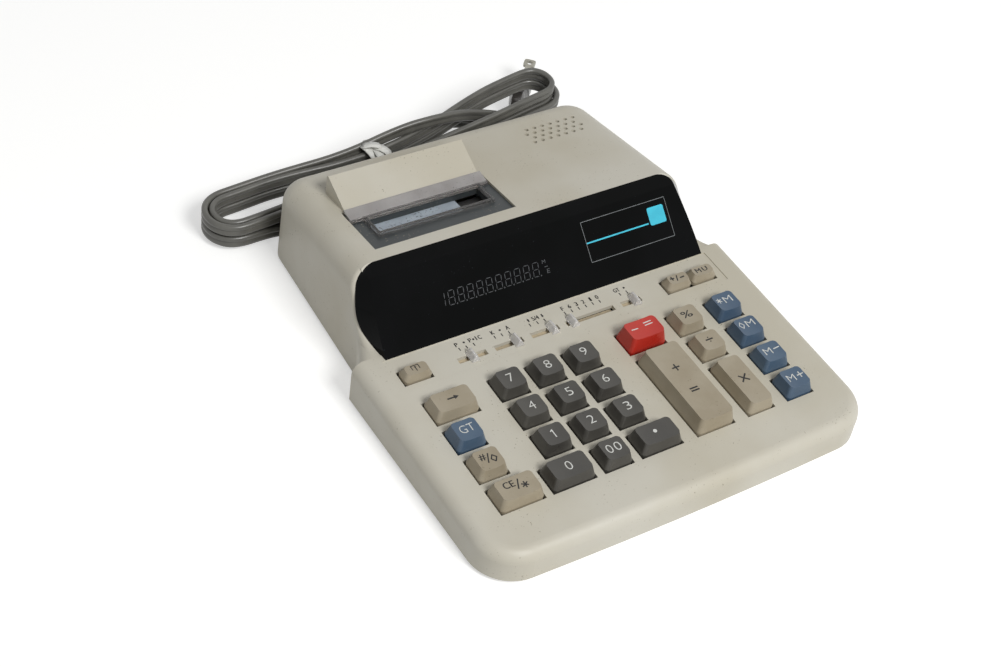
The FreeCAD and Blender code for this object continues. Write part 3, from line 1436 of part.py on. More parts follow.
def hank_stations():
    """The hank's marks in its own frame, each with its heading: three loops round and a last lead out.

    It spirals in through the lower layer, climbs along a run, and spirals out through the upper one.
    """
    wide, close = S.hank_outer_half, S.hank_inner_half
    waist, nip = S.hank_waist_outer, S.hank_waist_inner
    turn, layer = S.hank_turn_column, S.hank_layer
    left, right = Vector(-1, 0, 0), Vector(1, 0, 0)
    marks = [(HANK_START, left)]

    def left_turn(half, level):
        marks.append(((-turn, -half, level), left))
        marks.append(((-turn, half, level), right))

    def right_turn(half, level):
        marks.append(((turn, half, level), right))
        marks.append(((turn, -half, level), left))
    left_turn(wide, 0.0)
    marks.append(((0.0, waist, 0.0), right))
    right_turn(wide, 0.0)
    marks.append(((0.0, -waist, 0.0), left))
    left_turn(close, 0.0)
    marks.append(((0.0, nip, 0.0), right))
    right_turn(close, 0.0)
    marks.append(((0.0, -nip, layer / 2), left))
    left_turn(close, layer)
    marks.append(((0.0, nip, layer), right))
    right_turn(close, layer)
    marks.append(((0.0, -waist, layer), left))
    left_turn(wide, layer)
    marks.append(((-turn / 2, waist + nip, 1.7 * layer), Vector(1, -0.16, 0.06)))
    marks.append(((0.0, nip, S.hank_crossing), right))
    marks.append(((turn / 2, 0.0, 1.45 * layer), Vector(1, 0.0, -0.5)))
    marks.append(((0.74 * turn, -3.0, -0.27 * layer), Vector(1, 0.05, -0.6)))
    return marks


def hank_wire():
    """The hank's centre line on biarcs, ending square on the plug's rear face."""
    marks = [(in_hank(*place), HANK_TURN.multVec(heading)) for place, heading in hank_stations()]
    for place, heading in marks:
        heading.normalize()
    lead = Vector(PLUG_HEADING)
    marks.append((PLUG_REAR - lead * (2 * S.cord_radius), lead))
    marks.append((PLUG_REAR, lead))
    edges = []
    for (start, heading), (end, last_heading) in zip(marks, marks[1:]):
        if (end - start).getAngle(heading) < 1e-4 and heading.getAngle(last_heading) < 1e-4:
            edges.append(Part.LineSegment(start, end).toShape())
        else:
            edges += biarc(start, heading, end, last_heading)
    return Part.Wire(edges), marks


PLUG_HEADING = Vector(math.cos(math.radians(S.plug_yaw)), math.sin(math.radians(S.plug_yaw)), 0)
PLUG_MIDDLE = Vector(S.plug_column, back(S.plug_row), S.plug_height / 2)
PLUG_REAR = PLUG_MIDDLE - PLUG_HEADING * (S.plug_length / 2)


def self_gap(wire):
    """The least gap of the tube to itself, measured between points that lie well apart along it."""
    step = S.cord_radius / 2
    points = wire.discretize(Distance=step)
    apart = int(4 * S.cord_radius / step)
    least = 1e9
    for index, place in enumerate(points):
        for other in points[index + apart:]:
            gap = (place - other).Length
            least = min(least, gap)
    return least - 2 * S.cord_radius


def hull(corners):
    """The corners of the narrowest convex outline round some places in a plane, in order."""
    ordered = sorted(set(corners))

    def chain(places):
        kept = []
        for place in places:
            while len(kept) > 1 and turn_of(kept[-2], kept[-1], place) <= 1e-6:
                kept.pop()
            kept.append(place)
        return kept[:-1]

    def turn_of(first, middle, last):
        return ((middle[0] - first[0]) * (last[1] - first[1])
                - (middle[1] - first[1]) * (last[0] - first[0]))
    return chain(ordered) + chain(ordered[::-1])


def cord_tie():
    """A paper-covered wire tie round the hank's waist, with its twisted ends standing up as two ears."""
    strands = [place for place, heading in hank_stations() if place[0] == 0.0]

    def band(reach):
        circumradius = reach / math.cos(math.pi / 8)
        corners = [(across + circumradius * math.cos((2 * step + 1) * math.pi / 8),
                    up + circumradius * math.sin((2 * step + 1) * math.pi / 8))
                   for along, across, up in strands for step in range(8)]
        places = [Vector(-S.tie_width / 2, across, up) for across, up in hull(corners)]
        face = Part.Face(Part.makePolygon(places + places[:1]))
        return face.extrude(Vector(S.tie_width, 0, 0))
    inner = S.cord_radius + S.tie_gap
    ring = band(inner + S.tie_wall).cut(band(inner))
    top = S.hank_crossing + inner + S.tie_wall / 2
    level = top + S.tie_ear_radius
    knot = Part.makeCylinder(S.tie_knot_radius, S.tie_knot_length, Vector(-S.tie_knot_length / 2, 0, level),
                             Vector(1, 0, 0))
    tie = ring.fuse(knot)
    for sign in (-1, 1):
        ear = Part.makeCylinder(S.tie_ear_radius, S.tie_ear_length,
                                Vector(sign * S.tie_ear_radius, 0, level), Vector(sign * 0.8, 0.45 * sign, 0.45))
        tie = tie.fuse(ear)
    tie.Placement = FreeCAD.Placement(HANK_BASE, HANK_TURN)
    return tie


def mains_plug():
    """The moulded two-blade plug, lying on its edge with its blades one above the other."""
    length, wall, height = S.plug_length, S.plug_wall, S.plug_height
    shoulder = 0.62 * length

    def ring(x, half_wall, half_height):
        corner = 0.45 * half_wall
        profile = [(-half_wall, -half_height + corner), (-half_wall, half_height - corner),
                   (-half_wall + corner, half_height), (half_wall - corner, half_height),
                   (half_wall, half_height - corner), (half_wall, -half_height + corner),
                   (half_wall - corner, -half_height), (-half_wall + corner, -half_height)]
        places = [Vector(x, across, up) for across, up in profile]
        return Part.makePolygon(places + places[:1])
    rings = [ring(-length / 2, S.cord_radius + S.boot_wall, S.cord_radius + S.boot_wall),
             ring(-0.3 * length, 0.32 * wall, 0.34 * height), ring(length / 2 - shoulder, wall / 2, height / 2),
             ring(length / 2, wall / 2, height / 2)]
    plug = Part.makeLoft(rings, True, True)
    for sign in (-1, 1):
        blade = Part.makeBox(S.blade_length, S.blade_width, S.blade_wall,
                             Vector(length / 2, -S.blade_width / 2, sign * S.blade_pitch / 2 - S.blade_wall / 2))
        hole = Part.makeCylinder(S.blade_hole_radius, S.plug_height,
                                 Vector(length / 2 + S.blade_length - 2 * S.blade_hole_radius - 1, 0,
                                        -S.plug_height / 2))
        plug = plug.fuse(blade.cut(hole))
    plug.Placement = FreeCAD.Placement(PLUG_MIDDLE, FreeCAD.Rotation(Vector(0, 0, 1), S.plug_yaw))
    return plug


computed("strain_relief", strain_relief())
boot_mouth = Vector(S.gland_column, BOOT_END, S.gland_height)
hank_path, hank_marks = hank_wire()
hank_mouth, hank_heading = hank_marks[0]
tail_lead = hank_mouth - hank_heading * (4 * S.cord_radius)
tail_points = [boot_mouth] + [Vector(*place) for place in TAIL_ROUTE] + [tail_lead, hank_mouth]
tail_path, tail_radii = rounded_path(tail_points)
tail = sweep(tail_path, boot_mouth, Vector(0, 1, 0))
check_tube("mains_cord", tail, tail_path)
print("cord radii", [round(radius, 1) for radius in tail_radii])
computed("mains_cord", tail)
hank = sweep(hank_path, hank_mouth, hank_heading)
check_tube("cord_hank", hank, hank_path)
print("hank least self gap", round(self_gap(hank_path), 2))
computed("cord_hank", hank)
computed("cord_tie", cord_tie())
computed("mains_plug", mains_plug())

doc.recompute()
check_state()
os.makedirs("parts", exist_ok=True)
for part in parts:
    shape = part.Shape
    if shape.isNull() or not shape.isValid() or not shape.Solids:
        raise RuntimeError(f"{part.Label} has no valid solid")
    shape.exportStep(f"parts/{part.Label}.step")
print(len(parts), "sub-parts")
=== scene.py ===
# %% [markdown]
# # A desktop printing calculator, dressed for its portrait
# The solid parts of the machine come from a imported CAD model, which already has every key, cover and
# gear in its place. This notebook adds what a solid model lacks: the flat cord with its tie and plug,
# the clear switch knobs, the printed legends, the glow-less display digits, and a finish for each
# material. Everything is in metres, in the frame of the CAD model: X to the right, Y to the rear, Z up.

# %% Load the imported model
import json
import math

import bmesh
import bpy
from mathutils import Matrix, Vector


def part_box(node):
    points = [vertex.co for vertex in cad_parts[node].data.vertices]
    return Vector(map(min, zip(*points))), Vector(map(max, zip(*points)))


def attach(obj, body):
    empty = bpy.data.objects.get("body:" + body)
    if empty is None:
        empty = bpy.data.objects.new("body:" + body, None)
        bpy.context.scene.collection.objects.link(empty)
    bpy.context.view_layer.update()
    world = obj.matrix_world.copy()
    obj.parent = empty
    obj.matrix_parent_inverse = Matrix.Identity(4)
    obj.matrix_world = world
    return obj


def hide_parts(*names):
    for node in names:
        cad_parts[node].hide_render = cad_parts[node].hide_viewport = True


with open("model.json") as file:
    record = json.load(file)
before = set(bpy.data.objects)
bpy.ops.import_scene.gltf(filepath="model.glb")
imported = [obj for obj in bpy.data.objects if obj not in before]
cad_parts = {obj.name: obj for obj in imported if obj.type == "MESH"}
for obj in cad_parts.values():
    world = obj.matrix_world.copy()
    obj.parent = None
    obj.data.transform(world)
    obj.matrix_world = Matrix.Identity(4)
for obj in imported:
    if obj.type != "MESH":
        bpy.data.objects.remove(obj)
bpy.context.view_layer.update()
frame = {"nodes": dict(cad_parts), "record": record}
nodes = frame["nodes"]

# %% [markdown]
# Sizes are easier to read in millimetres, so one helper turns a place in millimetres into metres.
# Colours are written as the hex codes that a paint program shows. Blender works in linear light, so a
# second helper undoes the sRGB curve.

# %% Small helpers
MM = 0.001


def mm(*place):
    """A place in millimetres as a vector in metres."""
    return Vector(place) * MM


def linear(code):
    """An sRGB hex code as linear red, green, blue and full alpha."""
    def channel(text):
        value = int(text, 16) / 255
        return value / 12.92 if value <= 0.04045 else ((value + 0.055) / 1.055) ** 2.4
    return [channel(code[place:place + 2]) for place in (0, 2, 4)] + [1.0]


def new_piece(name, mesh, body="base"):
    """A mesh becomes an object of the scene that moves with a body of the machine."""
    piece = bpy.data.objects.new(name, mesh)
    bpy.context.scene.collection.objects.link(piece)
    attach(piece, body)
    return piece


def corners(geom):
    """The vertices among all that an operator of bmesh has made."""
    return [item for item in geom if isinstance(item, bmesh.types.BMVert)]


def finish_mesh(shape, name, smooth=True):
    """A bmesh becomes a mesh with its faces outwards and, if wanted, smooth."""
    bmesh.ops.remove_doubles(shape, verts=shape.verts, dist=1e-7)
    bmesh.ops.recalc_face_normals(shape, faces=shape.faces)
    for face in shape.faces:
        face.smooth = smooth
    mesh = bpy.data.meshes.new(name)
    shape.to_mesh(mesh)
    shape.free()
    return mesh


# %% [markdown]
# ## The camera
# The camera stands in front of the machine, to the left and above, with a long lens and a slight roll,
# as someone holds it by hand. A target point is easier to set than angles: the camera looks along its
# own −Z, so that axis is turned towards the target first, and the roll about it comes last.

# %% Camera
CAMERA_PLACE = mm(-395.0, -457.8, 566.4)
CAMERA_TARGET = mm(-33.2, -4.8, 25.0)
CAMERA_ROLL = math.radians(9.67)
FILM_WIDTH = 36.0
LENS = 63.4
camera = bpy.data.objects.new("camera", bpy.data.cameras.new("camera"))
camera.data.sensor_width = FILM_WIDTH
camera.data.lens = LENS
look = (CAMERA_TARGET - CAMERA_PLACE).to_track_quat("-Z", "Y").to_matrix().to_4x4()
camera.matrix_world = Matrix.Translation(CAMERA_PLACE) @ look @ Matrix.Rotation(CAMERA_ROLL, 4, "Z")
bpy.context.scene.collection.objects.link(camera)
bpy.context.scene.camera = camera
print("camera", round((CAMERA_TARGET - CAMERA_PLACE).length, 3), "m from its target")

# %% [markdown]
# ## The cord's route
# The cord is a flat twin lead: two insulated wires side by side. It leaves the rear wall through a
# boot, runs along the table behind the case, and goes three and a half times round in a hank that a
# paper tie draws in at its waist. A smooth NURBS line takes a few listed control points for the free
# stretch. The hank is a formula: four points round each end and six along each run, so a change of one
# size moves every loop. The order of the spline is set after its points, or it would stay a row of
# straight runs.

# %% Route of the free stretch and of the hank
CORD_EXIT = mm(50.0, 136.0, 11.0)
TAIL = [
    (50.0, 144.2, 11.0),
    (47.0, 151.6, 10.0),
    (41.4, 157.3, 8.4),
    (34.1, 160.5, 6.8),
    (26.1, 160.9, 5.3),
    (16.4, 158.6, 4.3),
    (4.0, 153.4, 3.6),
    (-8.5, 145.6, 3.4),
    (-22.0, 138.2, 3.4),
    (-36.5, 130.4, 3.4),
    (-51.0, 124.6, 3.4),
    (-65.0, 120.6, 3.6),
    (-78.0, 119.4, 4.4),
    (-87.0, 119.4, 5.4),
]
HANK_MIDDLE = Vector((-11.0, 137.0, 10.6))
HANK_ENDS = {-1: Vector((-99.0, 132.0, 5.7)), 1: Vector((81.0, 147.0, 21.8))}
# Half widths in millimetres: outer and inner loops at the ends, then both where the tie holds them.
WIDE = 13.6
CLOSE = 10.0
WAIST = 7.6
NIP = 2.6
# The upper layer's height over the lower one, and that of the end that crosses over both.
LAYER = 7.0
CROSSING = 14.0
PLUG_REAR = mm(72.6, 149.7, 9.0)
PLUG_HEADING = Vector((1, 1, 0)).normalized()


def on_axis(share, across, up):
    """A place beside the hank's axis, which runs from the middle to each end; share is −1 to 1."""
    side = 1 if share > 0 else -1
    axis = HANK_MIDDLE.lerp(HANK_ENDS[side], abs(share))
    return axis + Vector((0, across, up))


def end_turn(side, half, level):
    """Four control points round one end of the hank: side is −1 at the left and 1 at the right."""
    reach = half / math.cos(math.pi / 8)
    angles = [math.pi / 8 + step * math.pi / 4 for step in range(4)]
    return [on_axis(side, side * reach * math.cos(angle), level)
            + Vector((side * reach * math.sin(angle), 0, 0)) for angle in angles]


def run(side, first, waist, last, low, high):
    """Six control points from one end of the hank to the other, drawn in at the waist."""
    marks = [(-0.91, first, 0.0), (-0.66, first, 0.0), (-0.22, waist, 0.35), (0.22, waist, 0.65),
             (0.66, last, 1.0), (0.91, last, 1.0)]
    return [on_axis(side * share, side * across, low + (high - low) * rise)
            for share, across, rise in marks]


def hank():
    """The hank's control points: in by the lower layer, out by the upper one, and on to the plug."""
    # Each row: an end, the half widths there, at the waist and at the next end, and the two heights.
    half_turns = [(-1, WIDE, WAIST, WIDE, 0, 0), (1, WIDE, WAIST, CLOSE, 0, 0),
                  (-1, CLOSE, NIP, CLOSE, 0, 0), (1, CLOSE, NIP, CLOSE, 0, LAYER),
                  (-1, CLOSE, NIP, CLOSE, LAYER, LAYER), (1, CLOSE, WAIST, WIDE, LAYER, LAYER)]
    loops = []
    for side, first, waist, last, low, high in half_turns:
        loops += end_turn(side, first, low) + run(-side, first, waist, last, low, high)
    loops += end_turn(-1, WIDE, LAYER)
    lead = [(-0.91, 13.6, LAYER + 0.2), (-0.66, 12.4, LAYER + 0.8), (-0.25, WAIST, LAYER + 1.6),
            (0.10, 5.0, CROSSING), (0.30, 1.0, CROSSING), (0.52, 0.0, 9.0), (0.78, -2.0, -3.0)]
    return loops + [on_axis(*place) for place in lead]


hank_points = [place * MM for place in hank()]
route = [CORD_EXIT] + [mm(*place) for place in TAIL] + hank_points
route += [PLUG_REAR - PLUG_HEADING * 6 * MM, PLUG_REAR]
LINE_STEPS = 8
print(len(route), "control points")


def smooth_line(name, places):
    """A NURBS curve of order 3 that starts and ends at its outer control points."""
    curve = bpy.data.curves.new(name, "CURVE")
    curve.dimensions = "3D"
    spline = curve.splines.new("NURBS")
    spline.points.add(len(places) - 1)
    for point, place in zip(spline.points, places):
        point.co = (*place, 1.0)
    spline.order_u = 3
    spline.use_endpoint_u = True
    spline.resolution_u = LINE_STEPS
    return curve


def line_points(curve):
    """The points along a curve, as Blender itself draws it."""
    thing = bpy.data.objects.new("line", curve)
    mesh = bpy.data.meshes.new_from_object(thing)
    places = [vert.co.copy() for vert in mesh.vertices]
    bpy.data.objects.remove(thing)
    bpy.data.meshes.remove(mesh)
    return places


# %% [markdown]
# ## The flat twin cord
# A round bevel would give a garden hose. The real lead is a figure eight on edge, so the curve is
# bevelled with a small drawn section: two lobes with a groove on each side. Twist mode Z_UP keeps the
# section upright all the way round the hank. The result is turned into a mesh, and the points of an
# unbevelled copy say where its centre line runs.

# %% Cord
CORD_WIDTH = 6.8
LOBE = CORD_WIDTH / 4
LOBE_STEPS = 7
LOBE_APART = 0.94 * LOBE
GROOVE = math.radians(24)


def twin_section():
    """The outline of two round lobes that meet in a groove, as a closed flat curve."""
    curve = bpy.data.curves.new("twin_section", "CURVE")
    curve.dimensions = "2D"
    spline = curve.splines.new("POLY")
    places = []
    for side in (1, -1):
        for step in range(LOBE_STEPS + 1):
            angle = -math.pi + GROOVE + (2 * math.pi - 2 * GROOVE) * step / LOBE_STEPS
            places.append((side * (LOBE_APART + LOBE * math.cos(angle)), side * LOBE * math.sin(angle)))
    spline.points.add(len(places) - 1)
    for point, (across, up) in zip(spline.points, places):
        point.co = (up * MM, across * MM, 0.0, 1.0)
    spline.use_cyclic_u = True
    return bpy.data.objects.new("twin_section", curve)


cord_line = smooth_line("cord_line", route)
cord_path = line_points(cord_line)
section = twin_section()
bpy.context.scene.collection.objects.link(section)
cord_line.bevel_mode = "OBJECT"
cord_line.bevel_object = section
cord_line.use_fill_caps = True
cord_line.twist_mode = "Z_UP"
bevelled = bpy.data.objects.new("bevelled", cord_line)
bpy.context.scene.collection.objects.link(bevelled)
evaluated = bevelled.evaluated_get(bpy.context.evaluated_depsgraph_get())
cord_mesh = bpy.data.meshes.new_from_object(evaluated)
cord_mesh.name = "flat_cord"
bpy.data.objects.remove(bevelled)
bpy.data.objects.remove(section)
print("cord mesh", len(cord_mesh.vertices), "vertices")
for polygon in cord_mesh.polygons:
    polygon.use_smooth = True
flat_cord = new_piece("flat_cord", cord_mesh)
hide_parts("mains_cord", "cord_hank")

# %% [markdown]
# ## The tie
# A strip of white paper with a wire in it goes round the waist and is twisted shut, and its two ends
# stand off like ears. The band follows the outline of the strands that it holds, so its corners come
# from their places in the hank: one ring of edges is extruded along the hank and given a wall. Each
# ear is a thin grid, narrowed to a round tip, slightly bowed, and given its wall in the same way.

# %% Tie
TIE_WIDTH = 4.0
TIE_ALONG = -7.0
TIE_WALL = 0.5
EAR_WIDTH = 4.2
EAR_LENGTH = 9.5
EAR_ROUND = 0.2
EAR_TIP = 0.2
EAR_BOW = 1.2
EAR_CUP = 0.5
STRAND_HALF = 3.6
BAND_SWINGS = (-0.7, -0.25, 0.25, 0.7)
KNOT = (-7.5, 1.5, 12.9)
KNOT_RADIUS = 1.5
# Each ear: its foot, the way it points, and the way its width lies.
EARS = [((-12.4, 4.6, 13.2), (0.35, -0.80, -0.44), (0.92, 0.36, 0.10)),
        ((-7.4, 1.2, 13.6), (0.68, -0.62, -0.36), (0.70, 0.66, 0.12)),
        ((-13.2, 3.6, 13.4), (0.84, -0.46, 0.08), (0.45, 0.86, 0.0))]


def tie_band(shape):
    """A flat ring round the bundle: its outline is extruded, and the wall given thickness."""
    strands = [(NIP, LAYER + 2.5), (WAIST, LAYER + 1.6), (WAIST, 0.0), (-WAIST, 0.0), (-WAIST, LAYER)]
    middle = Vector((0.0, LAYER * 0.6))
    outline = []
    for across, up in strands:
        centre = Vector((across, up))
        outward = (centre - middle).normalized()
        for swing in BAND_SWINGS:
            outline.append(centre + (Matrix.Rotation(-swing, 2) @ outward) * STRAND_HALF)
    outline.sort(key=lambda place: math.atan2(place.y - middle.y, place.x - middle.x))
    ring = [shape.verts.new(mm(TIE_ALONG - TIE_WIDTH / 2, place.x, place.y)) for place in outline]
    edges = [shape.edges.new(pair) for pair in zip(ring, ring[1:] + ring[:1])]
    wall = bmesh.ops.extrude_edge_only(shape, edges=edges)["geom"]
    bmesh.ops.translate(shape, vec=mm(TIE_WIDTH, 0, 0), verts=corners(wall))
    bmesh.ops.recalc_face_normals(shape, faces=shape.faces)
    bmesh.ops.solidify(shape, geom=shape.faces[:], thickness=TIE_WALL * MM)


def tie_ear(shape, foot, heading, side):
    """A strip with a round end, slightly bent, from the knot outwards."""
    made = bmesh.ops.create_grid(shape, x_segments=7, y_segments=2, size=0.5)["verts"]
    along = Vector(heading).normalized()
    across = Vector(side).normalized()
    lift = along.cross(across)
    for vert in made:
        share = vert.co.x + 0.5
        into_tip = max(0.0, (share - 1 + EAR_ROUND) / EAR_ROUND)
        narrow = math.sqrt(max(0.0, 1 - into_tip ** 2)) * (1 - EAR_TIP) + EAR_TIP
        width = vert.co.y * EAR_WIDTH * narrow
        bend = math.sin(share * math.pi) * EAR_BOW + EAR_CUP * vert.co.y ** 2
        vert.co = (Vector(foot) + along * share * EAR_LENGTH + across * width + lift * bend) * MM
    faces = list({face for vert in made for face in vert.link_faces})
    bmesh.ops.solidify(shape, geom=faces, thickness=TIE_WALL * MM)


tie_shape = bmesh.new()
tie_band(tie_shape)
for foot, heading, side in EARS:
    tie_ear(tie_shape, foot, heading, side)
knot_turn = Matrix.Translation(mm(*KNOT)) @ Matrix.Rotation(math.pi / 2, 4, "Y")
bmesh.ops.create_uvsphere(tie_shape, u_segments=16, v_segments=8, radius=KNOT_RADIUS * MM,
                          matrix=knot_turn)
bmesh.ops.translate(tie_shape, vec=HANK_MIDDLE * MM, verts=tie_shape.verts)
tie = new_piece("paper_tie", finish_mesh(tie_shape, "paper_tie"))
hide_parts("cord_tie")
print("tie with", len(EARS), "ears,", len(tie.data.vertices), "vertices")

# %% [markdown]
# ## The plug
# The plug is vinyl moulded over the cord's end: it swells from the cord's own section to a flat block
# that fingers can grip, and two folded blades leave its face. Sections along its axis are extruded one
# from the other, and a subdivision surface melts them into one soft shape.

# %% Plug
PLUG_MIDDLE = mm(82.5, 159.6, 9.0)
# Each section: its place along the plug, half its thickness and half its height.
PLUG_SECTIONS = [(-14.0, 2.2, 3.9), (-12.5, 2.6, 4.4), (-7.0, 3.6, 6.0), (-2.0, 5.0, 7.9),
                 (4.0, 6.2, 8.9), (11.5, 6.3, 8.9), (13.2, 6.0, 8.6), (14.0, 5.2, 7.8)]
PLUG_FACE = 14.0
PLUG_SQUARENESS = 0.62
BLADE_PITCH = 12.7
BLADE_LENGTH = 17.0
BLADE_WIDTH = 6.35
BLADE_WALL = 1.5
BLADE_HOLE = 1.6
HOLE_TO_END = 3.8
CORNER_FILL = 1.25
plug_place = Matrix.Translation(PLUG_MIDDLE) @ Matrix.Rotation(math.radians(45.0), 4, "Z")


def plug_body():
    """A round face pulled along its axis, section by section, each squarer than a circle."""
    shape = bmesh.new()
    ring = bmesh.ops.create_circle(shape, cap_ends=True, segments=16, radius=1.0)["verts"]
    angles = [math.atan2(vert.co.y, vert.co.x) for vert in ring]
    face = shape.faces[:][0]
    for step, (along, half_wall, half_height) in enumerate(PLUG_SECTIONS):
        if step:
            made = bmesh.ops.extrude_face_region(shape, geom=[face])["geom"]
            face = [item for item in made if isinstance(item, bmesh.types.BMFace)][0]
            ring = list(face.verts)
            angles = [math.atan2(vert.co.z, vert.co.y) for vert in ring]
        for vert, angle in zip(ring, angles):
            wall, height = [math.copysign(abs(value) ** PLUG_SQUARENESS, value)
                            for value in (math.cos(angle), math.sin(angle))]
            vert.co = mm(along, wall * half_wall, height * half_height)
    return shape


def blade(shape, height):
    """One blade: a plate with chamfered end corners and a round hole."""
    half = BLADE_WIDTH / 2
    ring = bmesh.ops.create_circle(shape, segments=16, radius=BLADE_HOLE)["verts"]
    outline = bmesh.ops.create_circle(shape, segments=16, radius=half)["verts"]
    centre = BLADE_LENGTH - HOLE_TO_END
    for vert in ring:
        vert.co.x += centre
    for vert in outline:
        vert.co.x = min(max(vert.co.x * CORNER_FILL, -half), half) + centre
        vert.co.y = min(max(vert.co.y * CORNER_FILL, -half), half)
    edges = [edge for edge in shape.edges
             if edge.is_wire and all(vert in ring or vert in outline for vert in edge.verts)]
    faces = bmesh.ops.bridge_loops(shape, edges=edges)["faces"]
    rear = [edge for face in faces for edge in face.edges
            if all(vert.co.x < centre - half + 1e-6 for vert in edge.verts)]
    for vert in corners(bmesh.ops.extrude_edge_only(shape, edges=list(set(rear)))["geom"]):
        vert.co.x = -1.0
        vert.co.y = math.copysign(half, vert.co.y) if abs(vert.co.y) > 0.9 * half else vert.co.y
    region = [face for face in shape.faces if all(abs(vert.co.z) < 1e-9 for vert in face.verts)]
    for vert in corners(bmesh.ops.extrude_face_region(shape, geom=region)["geom"]):
        vert.co.z = BLADE_WALL
    for vert in shape.verts:
        if not vert.tag:
            vert.co = mm(vert.co.x + PLUG_FACE, vert.co.y, vert.co.z + height - BLADE_WALL / 2)
            vert.tag = True


plug_mesh = finish_mesh(plug_body(), "plug_body")
plug_mesh.transform(plug_place)
plug = new_piece("plug_body", plug_mesh)
plug_soft = plug.modifiers.new("soft", "SUBSURF")
plug_soft.levels = plug_soft.render_levels = 2
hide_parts("mains_plug")
blades_shape = bmesh.new()
for height in (-BLADE_PITCH / 2, BLADE_PITCH / 2):
    blade(blades_shape, height)
blades_mesh = finish_mesh(blades_shape, "plug_blades", smooth=False)
blades_mesh.transform(plug_place)
blades = new_piece("plug_blades", blades_mesh)
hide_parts("mains_plug")

print("plug and two blades", round(BLADE_PITCH, 1), "mm apart")

# %% [markdown]
# ## Finishes
# Almost everything here is moulded plastic, and what tells one plastic from another is small: how
# even the colour is, how fine the mould's texture is, and how crisp the highlight is. So one recipe
# makes them all from real sizes in millimetres: a slow cloud of a second tint (yellowing and grime), a
# few specks of dirt, and a fine grain that tilts the surface. A noise of scale s has features of
# about 1/s metres, so a size in millimetres gives the scale. The grain of a spark-eroded mould is
# 0.1 mm; it is drawn at 0.5 mm here, or the camera wouldn't show it.

# %% The node helpers
def add(owner, kind, feeds=None, **settings):
    """A node with its settings; each feed is a plain value or another node's output."""
    node = owner.node_tree.nodes.new(kind)
    for name, value in settings.items():
        setattr(node, name, value)
    for socket, value in (feeds or {}).items():
        if isinstance(value, bpy.types.NodeSocket):
            owner.node_tree.links.new(value, node.inputs[socket])
        else:
            node.inputs[socket].default_value = value
    return node


def fresh(name):
    """A new material with nothing in it but a shader and its output."""
    material = bpy.data.materials.new(name)
    material.use_nodes = True
    material.node_tree.nodes.clear()
    shader = add(material, "ShaderNodeBsdfPrincipled")
    add(material, "ShaderNodeOutputMaterial", {"Surface": shader.outputs["BSDF"]})
    return material, shader


SOCKETS = {"base": "Base Color", "rough": "Roughness", "metal": "Metallic", "ior": "IOR",
           "level": "Specular IOR Level", "coat": "Coat Weight", "coat_rough": "Coat Roughness",
           "glass": "Transmission Weight", "sheen": "Sheen Weight"}


def set_on(shader, **values):
    """Values that are the same all over, straight on the shader's sockets."""
    for name, value in values.items():
        shader.inputs[SOCKETS[name]].default_value = linear(value) if name == "base" else value


# Where the value of a noise starts and ends to count: clouds, patches of dirt, duller places.
CLOUDS = {"From Min": 0.38, "From Max": 0.66}
PATCHES = {"From Min": 0.46, "From Max": 0.62}
DULLER = {"From Min": 0.3, "From Max": 0.7}
PATCH_SIZE = 17.0
SPECK_EDGE = 0.06
METRE = 1000.0


def finish(name, base, tint, rough, cloud, speck=None, speck_size=0.9, speck_from=0.72, grain=0.5,
           bump=0.02, rough_swing=0.05, stretch=(1, 1, 1), **values):
    """A finish from real sizes: base and tint in slow clouds, specks of dirt, and a fine grain."""
    material, shader = fresh(name)
    links = material.node_tree.links
    place = add(material, "ShaderNodeTexCoord").outputs["Object"]
    along = add(material, "ShaderNodeMapping", {"Vector": place, "Scale": stretch}).outputs[0]
    clouds = add(material, "ShaderNodeTexNoise",
                 {"Vector": along, "Scale": METRE / cloud, "Detail": 4.0}).outputs[0]
    share = add(material, "ShaderNodeMapRange", {"Value": clouds, **CLOUDS}).outputs[0]
    # A Mix node has its colours on sockets 6 and 7, and the mixed colour on output 2.
    colour = add(material, "ShaderNodeMix", {0: share, 6: linear(base), 7: linear(tint)},
                 data_type="RGBA").outputs[2]
    if speck:
        specks = add(material, "ShaderNodeTexNoise",
                     {"Vector": place, "Scale": METRE / speck_size, "Detail": 1.0}).outputs[0]
        dirt = add(material, "ShaderNodeMapRange", {
            "Value": specks, "From Min": speck_from, "From Max": speck_from + SPECK_EDGE}).outputs[0]
        patchy = add(material, "ShaderNodeTexNoise",
                     {"Vector": place, "Scale": METRE / PATCH_SIZE, "Detail": 2.0}).outputs[0]
        patches = add(material, "ShaderNodeMapRange", {"Value": patchy, **PATCHES}).outputs[0]
        both = add(material, "ShaderNodeMath", {0: dirt, 1: patches}, operation="MULTIPLY").outputs[0]
        colour = add(material, "ShaderNodeMix", {0: both, 6: colour, 7: linear(speck)},
                     data_type="RGBA").outputs[2]
    links.new(colour, shader.inputs["Base Color"])
    dull = add(material, "ShaderNodeMapRange", {
        "Value": clouds, **DULLER, "To Min": rough - rough_swing, "To Max": rough + rough_swing})
    links.new(dull.outputs[0], shader.inputs["Roughness"])
    if bump:
        fine = add(material, "ShaderNodeTexNoise",
                   {"Vector": along, "Scale": METRE / grain, "Detail": 2.0}).outputs[0]
        tilt = add(material, "ShaderNodeBump", {"Height": fine, "Distance": bump * MM, "Strength": 1.0})
        links.new(tilt.outputs[0], shader.inputs["Normal"])
    set_on(shader, **values)
    return material


# %% [markdown]
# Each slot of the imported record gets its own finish, named for the real material and how it was made.
# The cream ABS has yellowed in soft patches and holds a little dirt. The keys are double-shot ABS with
# a satin top. The window is smoked acrylic, polished, so it is nearly black and mirrors the room only
# faintly. Inside parts are finished too, because they show when a cover is taken away.

